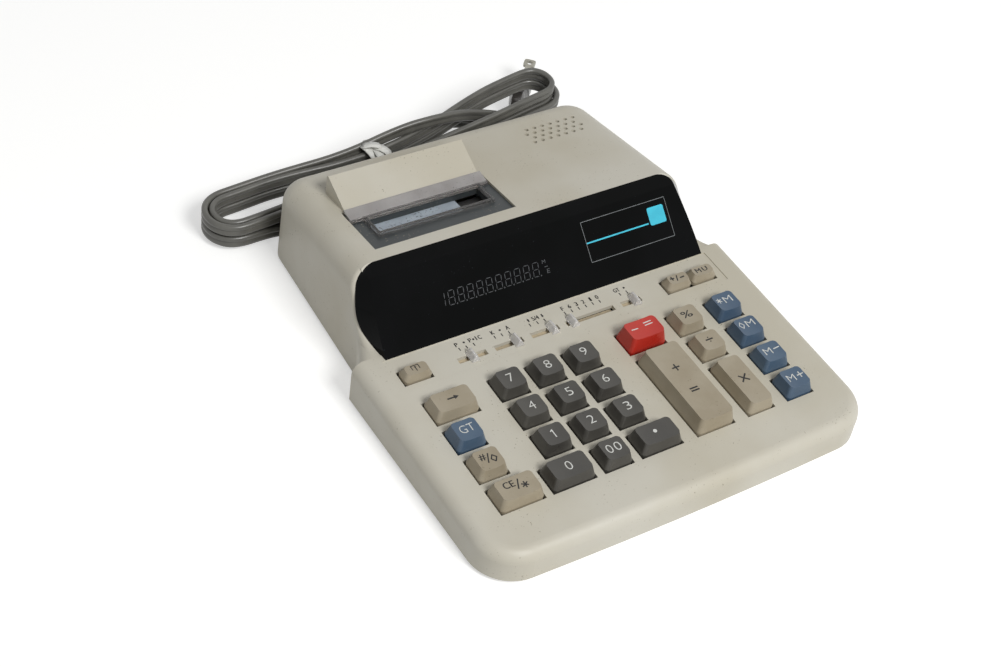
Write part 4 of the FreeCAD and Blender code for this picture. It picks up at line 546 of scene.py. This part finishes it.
# %% One finish for each slot
finishes = {
    # Spark-eroded ABS, yellowed in patches: dull, with a wide soft sheen.
    "case_cream": finish("yellowed_cream_abs", "cbc7ba", "c1bbaa", 0.46, cloud=60, speck="8f8874",
                         speck_from=0.70, grain=0.55, bump=0.03),
    # Polished acrylic: a deep black that mirrors only what is bright.
    "window_black": finish("smoked_acrylic", "030404", "070809", 0.07, cloud=35, speck="2b2f33",
                           speck_size=0.7, speck_from=0.74, bump=0, rough_swing=0.02, ior=1.49,
                           level=0.07),
    # Drawn glass: a thin grey-green with crisp highlights.
    "tube_glass": finish("soda_lime_tube_glass", "9fb4b0", "8fa8a4", 0.05, cloud=20, bump=0,
                         rough_swing=0.02, glass=0.7, ior=1.52),
    # Pressed paper and resin: brown, streaked one way, under a thin varnish.
    "circuit_board": finish("phenolic_paper_board", "8a7a43", "7c6c38", 0.4, cloud=6, grain=0.4,
                            bump=0.01, stretch=(1, 4, 1), coat=0.3),
    # Moulded slate ABS with paper dust in its texture.
    "printer_dark": finish("slate_abs_cover", "2d3234", "383c3d", 0.42, cloud=25, speck="7a7564",
                           speck_from=0.68, grain=0.4, bump=0.02),
    # Clear acrylic: only its edges, haze and dirt can be seen.
    "clear_plastic": finish("clear_acrylic_tear_bar", "d2cfcd", "c0bcba", 0.12, cloud=14,
                            speck="4a4444", speck_size=0.8, speck_from=0.70, bump=0.0, ior=1.25),
    # Moulded acetal: pale and waxy, with ink marks.
    "printer_grey": finish("blue_grey_acetal_guides", "9fa9b3", "b9c3cc", 0.32, cloud=9,
                           speck="1d2126", speck_size=1.1, speck_from=0.62, grain=0.3, bump=0.01,
                           stretch=(0.5, 1, 1)),
    # Nickel over drawn steel: bright, with streaks along the can.
    "motor_steel": finish("nickel_plated_steel", "b9b8b2", "a3a29c", 0.3, cloud=12, grain=0.3,
                          bump=0.004, stretch=(1, 8, 8), metal=1.0),
    # Stacked sheets under varnish: brown, with fine level lines.
    "core_steel": finish("varnished_silicon_steel", "6c645c", "544d46", 0.42, cloud=8, grain=0.5,
                         bump=0.02, stretch=(1, 1, 8), metal=0.8),
    # Moulded rubber: black with next to no highlight.
    "foot_rubber": finish("moulded_nitrile_rubber", "1a1a1a", "242322", 0.75, cloud=8, bump=0.03),
    # Zinc plate: pale and a little cloudy.
    "screw_steel": finish("zinc_plated_steel", "a8a69c", "8f8c80", 0.3, cloud=5, grain=0.3,
                          bump=0.004, metal=1.0),
    # Moulded polystyrene: black, half dull.
    "guide_black": finish("black_polystyrene_guide", "202020", "292826", 0.5, cloud=30),
    # Silicone rubber: grey and soft-looking.
    "dome_rubber": finish("silicone_spring_sheet", "8f9292", "a1a3a1", 0.6, cloud=12, grain=0.6,
                          bump=0.01, sheen=0.1),
    # Rolled paper: white and quite dull, with fibres along the strip.
    "tie_paper": finish("kraft_tie_paper", "e9e9e4", "dcdcd6", 0.85, cloud=3, grain=0.25, bump=0.03,
                        stretch=(1, 3, 1), sheen=0.2),
    # Vinyl moulded in a polished tool: dark, with one clear highlight.
    "plug_black": finish("moulded_vinyl_plug", "3d3b3a", "4a4643", 0.28, cloud=9, bump=0.01,
                         coat=0.3, coat_rough=0.2),
    # Moulded ABS slider: black, half dull.
    "knob_black": finish("black_abs_slider", "1d1d1d", "272625", 0.4, cloud=6, grain=0.4, bump=0.01),
    # Rubber ground round its axis: black and even.
    "platen_rubber": finish("ground_platen_rubber", "212121", "2b2a29", 0.65, cloud=6, grain=0.3),
    # Uncoloured nylon: milky white.
    "gear_nylon": finish("natural_nylon", "e0dcd0", "d2cdbd", 0.4, cloud=8, grain=0.4, bump=0.01),
    # Nylon with glass fibres: grey, with fine streaks.
    "carriage_black": finish("glass_filled_nylon", "66615a", "7a746a", 0.5, cloud=3, grain=0.4,
                             bump=0.03, stretch=(1, 3, 1)),
    # Hard moulded letters: dark and fairly glossy.
    "type_plastic": finish("moulded_type_wheel", "4d4d52", "5c5c5f", 0.3, cloud=3, grain=0.3),
    # Felt full of violet ink: rough, with a soft edge of light.
    "ink_felt": finish("inked_felt", "1f1a3a", "2b2450", 0.95, cloud=2, grain=0.25, bump=0.12,
                       sheen=0.5),
    # Polystyrene without colour: light comes through it, and its facets glint.
    "knob_cream": finish("translucent_polystyrene", "f4f2ef", "e8e5e2", 0.18, cloud=5, grain=0.4,
                         bump=0.005, glass=0.45, ior=1.55),
}
# The keys are moulded alike, with a satin top, and differ in colour and in how worn they are.
KEY_PLASTICS = {"key_dark": ("dark_double_shot_abs", "42403c", "4b4944", 0.32, "6c6a5c", 0.74),
                "key_blue": ("blue_double_shot_abs", "43586f", "4d6277", 0.32, "2c4364", 0.74),
                "key_red": ("red_double_shot_abs", "b4281c", "c03428", 0.3, "7d160e", 0.74),
                "key_beige": ("beige_double_shot_abs", "a69c88", "9b907b", 0.36, "7b715c", 0.70)}
for slot, (name, base, tint, rough, speck, speck_from) in KEY_PLASTICS.items():
    finishes[slot] = finish(name, base, tint, rough, cloud=16, speck=speck, speck_from=speck_from,
                            grain=0.45, bump=0.014)

# %% [markdown]
# The tear bar is one clear moulding: its rim round the window is polished and lets the guides show
# through, while its long edge behind the rim is worn hazy by paper. So how much light passes depends
# on the place from front to rear, and Object coordinates give it.

# %% Clear rim and hazy edge of the tear bar
HAZE_FROM = 68.4
HAZE_TO = 69.0
CLEAR_SHARE = 0.93
HAZY_SHARE = 0.50
tear_bar = finishes["clear_plastic"]
tear_place = add(tear_bar, "ShaderNodeTexCoord").outputs["Object"]
from_front = add(tear_bar, "ShaderNodeSeparateXYZ", {"Vector": tear_place}).outputs["Y"]
passing = add(tear_bar, "ShaderNodeMapRange", {
    "Value": from_front, "From Min": HAZE_FROM * MM, "From Max": HAZE_TO * MM,
    "To Min": CLEAR_SHARE, "To Max": HAZY_SHARE}).outputs[0]
tear_shader = next(node for node in tear_bar.node_tree.nodes
                   if node.bl_idname == "ShaderNodeBsdfPrincipled")
tear_bar.node_tree.links.new(passing, tear_shader.inputs["Transmission Weight"])
print("tear bar clear up to", HAZE_FROM, "mm and hazy from", HAZE_TO, "mm")

# %% [markdown]
# The cord's vinyl is glossy enough to draw a line of light along each lobe. Its colour changes along
# its length and it has picked up dust in the groove, so the tint's clouds are short.

# %% The cord's finish and where each finish goes
finishes["cord_sheath"] = finish("plasticised_vinyl_sheath", "55544f", "62615b", 0.34, cloud=12,
                                 speck="45443f", speck_from=0.66, grain=0.6, level=0.6)
slot_of = {row["node"]: row["material_slot"] for row in frame["record"]["subparts"]}
for name, node in nodes.items():
    node.data.materials.clear()
    node.data.materials.append(finishes[slot_of[name]])
flat_cord.data.materials.append(finishes["cord_sheath"])
tie.data.materials.append(finishes["tie_paper"])
plug.data.materials.append(finishes["plug_black"])
blades.data.materials.append(finishes["screw_steel"])
print(len(finishes), "finishes for", len(slot_of), "nodes")

# %% [markdown]
# ## Printing on the keys
# The legends are printed or moulded in the key tops. Each is drawn as text, turned into a thin closed
# mesh, and pressed on its key: every corner of the mesh drops along a straight line until it meets
# the key, so the print follows the dished top. A legend rides on its key, or it would stay behind
# when the key goes down. Signs of straight strokes are made from bars instead, because Blender's
# letters tear where they are made bolder. The depth is counted from the front edge of the case.

# %% The press
CASE_HALF_DEPTH = 116.0
PRINT_HALF = 0.05
LETTER_SIDES = 4
LETTER_WALL = 0.1
# How thick the strokes of a sign are, how much a white letter is thinned in its font's own units, and
# how far apart the two copies of a black letter stand.
WHITE_LINE = 0.52
BLACK_LINE = 0.74
LEGEND_THIN = 0.012
DOUBLE = 0.09
white_print = finish("white_legend_plastic", "d9dad6", "cfcfc9", 0.45, cloud=4, bump=0, grain=0.4)
black_print = finish("black_legend_ink", "0d0c0b", "151413", 0.5, cloud=4, bump=0, grain=0.4)
UPRIGHT = Matrix.Identity(3)


def drawn(words, width, height, lean=0.0, thin=0.0):
    """Words as a flat closed mesh in a bmesh, in millimetres, with its middle at the origin."""
    curve = bpy.data.curves.new("letters", "FONT")
    curve.body = words
    curve.extrude = LETTER_WALL
    curve.offset = -thin
    curve.resolution_u = LETTER_SIDES
    thing = bpy.data.objects.new("letters", curve)
    mesh = bpy.data.meshes.new_from_object(thing)
    shape = bmesh.new()
    shape.from_mesh(mesh)
    bpy.data.objects.remove(thing)
    bpy.data.meshes.remove(mesh)
    xs = [vert.co.x for vert in shape.verts]
    ys = [vert.co.y for vert in shape.verts]
    middle = Vector(((min(xs) + max(xs)) / 2, (min(ys) + max(ys)) / 2, 0))
    grow = Vector((width / (max(xs) - min(xs)), height / (max(ys) - min(ys)),
                   PRINT_HALF / LETTER_WALL))
    for vert in shape.verts:
        vert.co = (vert.co - middle) * grow
        vert.co.x += lean * vert.co.y
    return shape


def bar(width, height, sides=4):
    """A flat bar or dot as thick as the print."""
    shape = bmesh.new()
    turn = math.pi / sides if sides == 4 else 0.0
    reach = math.sqrt(0.5) if sides == 4 else 0.5
    place = Matrix.Translation((0, 0, -PRINT_HALF)) @ Matrix.Rotation(turn, 4, "Z")
    bmesh.ops.create_circle(shape, cap_ends=True, segments=sides, radius=reach, matrix=place)
    top = bmesh.ops.extrude_face_region(shape, geom=shape.faces[:])["geom"]
    bmesh.ops.translate(shape, vec=(0, 0, 2 * PRINT_HALF), verts=corners(top))
    bmesh.ops.scale(shape, vec=(width, height, 1), verts=shape.verts)
    return shape


def joined(shapes):
    """Several bmeshes as one."""
    whole = bmesh.new()
    for shape in shapes:
        mesh = bpy.data.meshes.new("part")
        shape.to_mesh(mesh)
        shape.free()
        whole.from_mesh(mesh)
        bpy.data.meshes.remove(mesh)
    return whole


def strokes(*bars):
    """A sign from straight bars, each with its middle, length, thickness and turn in degrees."""
    shapes = []
    for across, up, length, thick, turn in bars:
        shape = bar(length, thick)
        bmesh.ops.rotate(shape, matrix=Matrix.Rotation(math.radians(turn), 3, "Z"), verts=shape.verts)
        bmesh.ops.translate(shape, vec=(across, up, 0), verts=shape.verts)
        shapes.append(shape)
    return joined(shapes)


def lozenge(width, height, line):
    """A standing diamond drawn with a line of even thickness."""
    slope = math.degrees(math.atan2(height, width))
    side = math.hypot(width, height) / 2
    return strokes(*[(x * width / 4, y * height / 4, side + line / 2, line, -x * y * slope)
                     for x in (-1, 1) for y in (-1, 1)])


def sign(kind, size, line):
    """Signs of straight strokes: minus, equals, plus, times, divide, star, slash, one and arrow."""
    half = size / 2
    if kind == "−":
        return strokes((0, 0, size, line, 0))
    if kind == "=":
        return strokes((0, 0.75, size, line, 0), (0, -0.75, size, line, 0))
    if kind == "+":
        return strokes((0, 0, size, line, 0), (0, 0, size, line, 90))
    if kind == "×":
        return strokes(*[(0, 0, size * 1.3, line, turn) for turn in (45, -45)])
    if kind == "÷":
        dots = [bar(0.7, 0.7, 12) for _ in range(2)]
        for shape, up in zip(dots, (1.3, -1.3)):
            bmesh.ops.translate(shape, vec=(0, up, 0), verts=shape.verts)
        return joined([strokes((0, 0, size, line, 0))] + dots)
    if kind == "*":
        return strokes(*[(0, 0, size, line * 0.8, turn) for turn in (30, 90, 150)])
    if kind == "/":
        return strokes((0, 0, size, line * 0.8, 66))
    if kind == "1":
        return strokes((0.2, 0, size, line, 90), (-0.35, half - 0.62, 1.35, line * 0.9, 42))
    head = bar(2.8, 3.0, 3)
    bmesh.ops.rotate(head, matrix=Matrix.Rotation(math.radians(-90), 3, "Z"), verts=head.verts)
    bmesh.ops.translate(head, vec=(half - 1.2, 0, 0), verts=head.verts)
    return joined([strokes((-0.6, 0, size - 1.2, line, 0)), head])


def pressed(marks, name, node, body, ink, base=Vector((0, 0, 60)), turn=UPRIGHT):
    """Marks, each a bmesh with its place, laid on a node's surface and joined to one piece."""
    outward = turn @ Vector((0, 0, 1))
    missed = 0
    for shape, across, along in marks:
        for vert in shape.verts:
            flat = base + turn @ Vector((vert.co.x + across, vert.co.y + along, 0))
            hit, place, _, _ = nodes[node].ray_cast(flat * MM, -outward)
            missed += not hit
            vert.co = (place if hit else flat * MM) + outward * vert.co.z * MM
    print_shape = joined([mark[0] for mark in marks])
    piece = new_piece(name, finish_mesh(print_shape, name, smooth=False), body)
    piece.data.materials.append(ink)
    if missed:
        print(name, "missed the surface at", missed, "corners")
    return piece


# %% Legends of the keys
# Each mark: its sign, its place across and in depth, and its width. A letter has its height last.
DIGIT_COLUMNS = (-45.4, -25.8, -6.4)
DIGIT_ROWS = (84.0, 66.3, 48.7)
DIGIT = (3.1, 4.5)
legends = {}
for place, digit in enumerate("789456123"):
    legends["key_" + digit] = [(digit, DIGIT_COLUMNS[place % 3], DIGIT_ROWS[place // 3], *DIGIT)]
legends.update({
    "key_1": [("1", DIGIT_COLUMNS[0], DIGIT_ROWS[2], DIGIT[1])],
    "key_0": [("0", -49.1, 31.1, *DIGIT)],
    "key_00": [("0", -28.0, 31.2, *DIGIT), ("0", -23.8, 31.2, *DIGIT)],
    "key_shift": [("→", -74.8, 84.1, 5.4)],
    "key_grand_total": [("GT", -78.2, 66.6, 7.0, 4.2)],
    "key_subtotal": [("#", -80.6, 49.9, 3.0, 3.4), ("/", -78.4, 48.8, 5.2),
                     ("◊", -76.1, 47.8, 2.6, 3.6)],
    "key_clear_total": [("CE", -78.2, 32.8, 5.2, 3.4), ("/", -74.2, 31.7, 5.4), ("*", -71.6, 30.2, 3.4)],
    "key_minus_equals": [("−", 21.8, 84.2, 3.6), ("=", 29.8, 85.3, 4.2)],
    "key_plus_equals": [("+", 25.7, 57.2, 4.0), ("=", 25.9, 43.0, 4.4)],
    "key_percent": [("%", 51.6, 84.0, 5.4, 4.0)],
    "key_divide": [("÷", 52.0, 66.5, 4.0)],
    "key_multiply": [("×", 52.4, 40.3, 4.4)],
    "key_memory_total": [("*", 71.2, 84.6, 3.2), ("M", 76.0, 84.3, 4.2, 3.8)],
    "key_memory_subtotal": [("◊", 71.6, 67.2, 2.6, 3.8), ("M", 76.4, 67.2, 4.2, 3.8)],
    "key_memory_minus": [("M", 73.0, 49.0, 4.2, 3.8), ("−", 78.0, 49.2, 3.2)],
    "key_memory_plus": [("M", 72.8, 31.1, 4.2, 3.8), ("+", 77.9, 31.3, 3.4)],
    "key_sign_change": [("+", 60.6, 107.6, 2.5), ("/", 63.3, 107.2, 3.6), ("−", 66.0, 106.8, 2.3)],
    "key_mark_up": [("M", 75.9, 107.2, 2.9, 2.6), ("U", 79.8, 107.2, 2.5, 2.6)],
})


def marks_of(line, text, across, depth, width, height=None):
    """One character with its place: strokes where no height is given, and else letters.

    A letter in the thick black print is drawn twice, a little apart, because a wide offset tears it.
    """
    along = depth - CASE_HALF_DEPTH
    if text == "◊":
        return [(lozenge(width, height, line * 0.75), across, along)]
    if height is None:
        return [(sign(text, width, line), across, along)]
    if line == WHITE_LINE:
        return [(drawn(text, width, height, thin=LEGEND_THIN), across, along)]
    return [(drawn(text, width, height), across + shift, along) for shift in (-DOUBLE, DOUBLE)]


for name, words in legends.items():
    dark_ink = slot_of[name] == "key_beige"
    line = BLACK_LINE if dark_ink else WHITE_LINE
    ink = black_print if dark_ink else white_print
    marks = [mark for word in words for mark in marks_of(line, *word)]
    pressed(marks, name.replace("key_", "legend_"), name, name, ink)
DOT = 1.9
dot = [(bar(DOT, DOT, 20), -3.7, 31.4 - CASE_HALF_DEPTH)]
pressed(dot, "legend_point", "key_point", "key_point", white_print)
# The paper-feed sign: a sheet's top edge and sides, and an arrow up into it.
FEED = (-79.8, 107.2 - CASE_HALF_DEPTH)
FEED_BARS = [(3.9, 0.4, 0, 1.6), (0.4, 2.6, -1.8, 0.5), (0.4, 2.6, 1.8, 0.5), (0.45, 2.6, 0, -0.3)]
feed_marks = [(bar(width, height), FEED[0] + across, FEED[1] + along)
              for width, height, across, along in FEED_BARS]
feed_marks.append((bar(1.5, 0.9, 3), FEED[0], FEED[1] + 0.8))
pressed(feed_marks, "legend_paper_feed", "key_paper_feed", "key_paper_feed", black_print)
print(len(legends) + 2, "legends")

# %% [markdown]
# ## Printing on the switch panel
# A row of letters and short ticks behind the five slide switches tells what each place of a knob
# means. It is one print, so it is one piece.

# %% Switch panel
PANEL_ROW = 115.2 - CASE_HALF_DEPTH
TICK_ROW = 112.3 - CASE_HALF_DEPTH
CAP = 2.35
# Each word: its letters, its place from the middle of the case, and its width.
panel_words = [("P", -53.9, 1.4), ("P", -46.7, 1.4), ("I", -43.5, 0.35), ("C", -41.6, 1.5),
               ("K", -34.8, 1.5), ("A", -26.8, 1.7), ("5/4", -11.5, 3.6), ("F", 3.5, 1.3),
               ("6", 7.4, 1.4), ("3", 11.3, 1.4), ("2", 15.1, 1.4), ("1", 19.2, 0.8),
               ("0", 22.9, 1.4), ("GT", 34.2, 3.2)]
panel_dots = (-49.9, -44.9, -30.8, 38.5)
panel_ticks = [-53.8, -50.1, -46.2, -35.2, -31.4, -27.5, -16.2, -12.1, -8.1, 34.3, 38.3]
panel_ticks += [3.1 + 3.92 * step for step in range(6)]
marks = [(drawn(text, width, CAP), across + shift, PANEL_ROW) for text, across, width in panel_words
         for shift in (-DOUBLE, DOUBLE)]
marks += [(bar(1.1, 1.1, 12), across, PANEL_ROW) for across in panel_dots]
marks += [(bar(0.5, 1.8), across, TICK_ROW) for across in panel_ticks]
for across, way in ((-15.4, 1), (-7.7, -1)):
    marks.append((bar(1.5, 1.5 * way, 3), across, PANEL_ROW + 0.4 * way))
    marks.append((bar(0.7, 1.3), across, PANEL_ROW - 0.4 * way))
pressed(marks, "panel_print", "upper_case", "base", black_print)
print(len(panel_words), "words and", len(panel_ticks), "ticks on the panel")

# %% [markdown]
# ## The display
# The tube stands behind smoked acrylic, and its unlit figures show only as a trace. They are drawn
# just on the pane as pale grey bars: seven to a figure, each a flat six-sided bar like the real
# segment, all leaning to the right.

# %% Display figures
PANE_FOOT = Vector((0, 119.4 - CASE_HALF_DEPTH, 23.2))
PANE_TILT = math.radians(44.5)
PANE_TURN = Matrix.Rotation(PANE_TILT, 3, "X")
ABOVE_PANE = PANE_FOOT + PANE_TURN @ Vector((0, 0, 12))
FIGURE = (3.0, 6.4)
SEGMENT = 0.38
LEAN = 0.14
FIGURE_ROW = 17.4
FIRST_FIGURE = -53.0
FIGURE_PITCH = 5.05
FIGURES = 11
ghost_print = finish("unlit_phosphor", "22252a", "1b1e22", 0.5, cloud=6, bump=0, grain=0.4)
# Each segment: its place across and up, in shares of a figure, and whether it stands upright.
SEGMENT_PLACES = [(0, 0.5, False), (0, 0, False), (0, -0.5, False), (-0.5, 0.25, True),
                  (0.5, 0.25, True), (-0.5, -0.25, True), (0.5, -0.25, True)]


def segment(across, up, upright):
    """One bar of a figure, with pointed ends, already in its place and leaning."""
    long, short = (FIGURE[1] / 2 if upright else FIGURE[0]) - 0.25, SEGMENT
    shape = bar(1.0, 1.0, 6)
    for vert in shape.verts:
        x, y = vert.co.x * long, vert.co.y * short
        if upright:
            x, y = y, x
        x, y = x + across * FIGURE[0], y + up * FIGURE[1]
        vert.co = (x + LEAN * y, y, vert.co.z)
    return shape


marks = []
for figure in range(FIGURES):
    wanted = SEGMENT_PLACES[4::2] if figure == 0 else SEGMENT_PLACES
    middle = FIRST_FIGURE + figure * FIGURE_PITCH
    marks += [(segment(*place), middle, FIGURE_ROW) for place in wanted]
    if figure:
        marks.append((bar(0.7, 0.7, 10), middle + 2.0, FIGURE_ROW - 3.3))
end_column = FIRST_FIGURE + FIGURES * FIGURE_PITCH + 0.6
marks += [(drawn("M", 1.8, 1.7, LEAN), end_column - 0.6, FIGURE_ROW + 2.5),
          (drawn("E", 1.6, 2.0, LEAN), end_column + 0.6, FIGURE_ROW - 2.2),
          (bar(1.8, 0.35), end_column, FIGURE_ROW)]
pressed(marks, "display_figures", "display_window", "base", ghost_print, ABOVE_PANE,
        PANE_TURN)
print(FIGURES, "figures")

# %% [markdown]
# ## The label
# The label beside the figures is printed on the pane: a thin grey outline, a blue line and a plain
# blue tile with rounded corners. They are bars too, pressed on the pane as the figures are.

# %% Label on the window
# Left and right, then low and high, along the pane; the blue line has its height and thickness last.
LABEL = (27.4, 76.0, 12.4, 31.8)
LABEL_LINE = 0.28
BLUE_LINE = (27.6, 63.6, 21.6, 0.7)
TILE = (64.6, 74.0, 20.2, 28.8)
grey_print = finish("grey_label_ink", "6a6e70", "5d6062", 0.5, cloud=6, bump=0, grain=0.4)
blue_print = finish("pale_blue_label_ink", "38c4dc", "2fb6d0", 0.45, cloud=6, bump=0, grain=0.4)
left, right, low, high = LABEL
edges = [(right - left, LABEL_LINE, (left + right) / 2, up) for up in (low, high)]
edges += [(LABEL_LINE, high - low, across, (low + high) / 2) for across in (left, right)]
pressed([(bar(width, height), across, up) for width, height, across, up in edges], "label_outline",
        "display_window", "base", grey_print, ABOVE_PANE, PANE_TURN)
left, right, low, high = TILE
tile = bar(right - left, high - low)
upright_edges = [edge for edge in tile.edges
                 if abs(edge.verts[0].co.z - edge.verts[1].co.z) > PRINT_HALF]
bmesh.ops.bevel(tile, geom=upright_edges, offset=0.9, segments=4, profile=0.5, affect="EDGES",
                material=-1)
start, end, up, thick = BLUE_LINE
blue = [(tile, (left + right) / 2, (low + high) / 2),
        (bar(end - start, thick), (start + end) / 2, up)]
pressed(blue, "label_blue", "display_window", "base", blue_print, ABOVE_PANE,
        PANE_TURN)
print("label", round(LABEL[1] - LABEL[0], 1), "mm wide")

# %% [markdown]
# ## Slide knobs
# The real knobs are clear plastic, cut like a small tent: a ridge from front to back, sloping sides,
# and sloping ends. A box is stretched to the knob's size, its top is drawn together to the ridge, and
# a bevel breaks the edges. Under each knob a tan shutter slides along with it and closes the slot. The
# longest one reaches under its neighbour's knob, so that knob has a shorter stem.

# %% Knobs and shutters
DECK_TILT = math.radians(2.7)
DECK_MIDDLE = Vector((0, 106.2 - CASE_HALF_DEPTH, 22.61))
SHUTTER_HALF = 2.3
SHUTTER_WALL = 0.3
KNOB_HEIGHT = 3.2
KNOB_EDGE = 0.35
RIDGE_WIDTH = 0.22
RIDGE_LENGTH = 0.82
STEM_HALF = 1.2
SHORT_STEMS = {"switch_knob_total": 19.25}
# Each shutter: its height against the deck's top, and its reach to each side of its knob.
SHUTTERS = {"switch_knob_print": (-2.9, 11.0), "switch_knob_item": (-3.4, 11.0),
            "switch_knob_round": (-2.9, 11.0), "switch_knob_decimal": (-3.9, 23.5),
            "switch_knob_total": (-2.9, 7.4)}
shutter_brown = finish("tan_fibre_shutter", "c4b59a", "b5a78c", 0.7, cloud=4, grain=0.4, bump=0.02)


def box_shape(low, high):
    """A box between two corners, in millimetres."""
    shape = bmesh.new()
    bmesh.ops.create_cube(shape, size=1.0)
    size = Vector(high) - Vector(low)
    bmesh.ops.scale(shape, vec=size, verts=shape.verts)
    bmesh.ops.translate(shape, vec=(Vector(low) + Vector(high)) / 2, verts=shape.verts)
    return shape


for name, (level, reach) in sorted(SHUTTERS.items()):
    low, high = [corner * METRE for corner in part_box(name)]
    middle = (low + high) / 2
    foot = high.z - KNOB_HEIGHT
    shape = box_shape((low.x, low.y + 0.2, foot), (high.x, high.y - 0.2, high.z))
    for vert in shape.verts:
        if vert.co.z > high.z - 0.1:
            vert.co.x = middle.x + (vert.co.x - middle.x) * RIDGE_WIDTH
            vert.co.y = middle.y + (vert.co.y - middle.y) * RIDGE_LENGTH
    bmesh.ops.bevel(shape, geom=shape.edges[:], offset=KNOB_EDGE, segments=3, profile=0.5,
                    affect="EDGES", material=-1)
    stem = box_shape((middle.x - STEM_HALF, middle.y - STEM_HALF, SHORT_STEMS.get(name, low.z)),
                     (middle.x + STEM_HALF, middle.y + STEM_HALF, foot + 0.5))
    shape = joined([shape, stem])
    bmesh.ops.scale(shape, vec=(MM, MM, MM), verts=shape.verts)
    knob_mesh = finish_mesh(shape, name, smooth=False)
    knob = new_piece(name.replace("switch_knob", "clear_knob"), knob_mesh, name)
    knob.data.materials.append(finishes["knob_cream"])
    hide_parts(name)
    deck_turn = Matrix.Rotation(DECK_TILT, 4, "X")
    deck = Matrix.Translation((middle.x, DECK_MIDDLE.y, DECK_MIDDLE.z)) @ deck_turn
    plate = box_shape((-reach, -SHUTTER_HALF, level), (reach, SHUTTER_HALF, level + SHUTTER_WALL))
    bmesh.ops.bevel(plate, geom=plate.edges[:], offset=0.08, segments=1, profile=0.5,
                    affect="EDGES", material=-1)
    bmesh.ops.transform(plate, matrix=Matrix.Scale(MM, 4) @ deck, verts=plate.verts)
    plate_mesh = finish_mesh(plate, "shutter", smooth=False)
    shutter = new_piece(name.replace("switch_knob", "slot_shutter"), plate_mesh, name)
    shutter.data.materials.append(shutter_brown)
print(len(SHUTTERS), "clear knobs, each with its shutter")

# %% [markdown]
# ## The floor and the light
# A pale floor without an edge shows white to the camera and in reflections, but takes the shadow of
# the machine as a real table does. The Light Path node tells the rays apart: the camera, gloss and
# glass see a white room, while the plain light that falls on the machine stays at an even level.

# %% Floor
FLOOR_LIFT = 0.50
FLOOR_HALF = 3.0
FLOOR_COLOUR = "dededc"


def seen_directly(material):
    """One for camera, glossy and transmission rays, and nought for the rest."""
    rays = add(material, "ShaderNodeLightPath").outputs
    seen = add(material, "ShaderNodeMath", {0: rays["Is Camera Ray"], 1: rays["Is Glossy Ray"]},
               operation="MAXIMUM").outputs[0]
    return add(material, "ShaderNodeMath", {0: seen, 1: rays["Is Transmission Ray"]},
               operation="MAXIMUM").outputs[0]


floor_shape = bmesh.new()
bmesh.ops.create_grid(floor_shape, x_segments=1, y_segments=1, size=FLOOR_HALF)
floor = bpy.data.objects.new("floor", finish_mesh(floor_shape, "floor", smooth=False))
bpy.context.scene.collection.objects.link(floor)
floor_paper, floor_shader = fresh("floor_paper")
set_on(floor_shader, base=FLOOR_COLOUR, rough=0.9, level=0.2)
lift = add(floor_paper, "ShaderNodeMath", {0: seen_directly(floor_paper), 1: FLOOR_LIFT},
           operation="MULTIPLY")
floor_paper.node_tree.links.new(lift.outputs[0], floor_shader.inputs["Emission Strength"])
floor_shader.inputs["Emission Color"].default_value = (1, 1, 1, 1)
floor.data.materials.append(floor_paper)
print("floor", 2 * FLOOR_HALF, "m wide")

# %% [markdown]
# One large square lamp in front and above gives each key a soft shadow. It stands so that the tilted
# window doesn't mirror it into the camera. The even light of the room fills the shadows.

# %% Light
ROOM_LIGHT = 0.29
KEY_POWER = 23.0
KEY_SIZE = 0.62
KEY_PLACE = Vector((0.14, -1.20, 1.36))
world = bpy.data.worlds.new("studio")
bpy.context.scene.world = world
world.use_nodes = True
background = world.node_tree.nodes["Background"]
background.inputs["Color"].default_value = (1, 1, 1, 1)
room = add(world, "ShaderNodeMapRange", {
    "Value": seen_directly(world), "To Min": ROOM_LIGHT, "To Max": 1.0})
world.node_tree.links.new(room.outputs[0], background.inputs["Strength"])
lamp = bpy.data.objects.new("key_light", bpy.data.lights.new("key_light", "AREA"))
lamp.data.energy = KEY_POWER
lamp.data.size = KEY_SIZE
lamp.location = KEY_PLACE
lamp.rotation_euler = (-KEY_PLACE).to_track_quat("-Z", "Y").to_euler()
bpy.context.scene.collection.objects.link(lamp)
bpy.context.scene.view_settings.view_transform = "Standard"
print("lamp of", KEY_POWER, "W,", round(KEY_PLACE.length, 2), "m away")
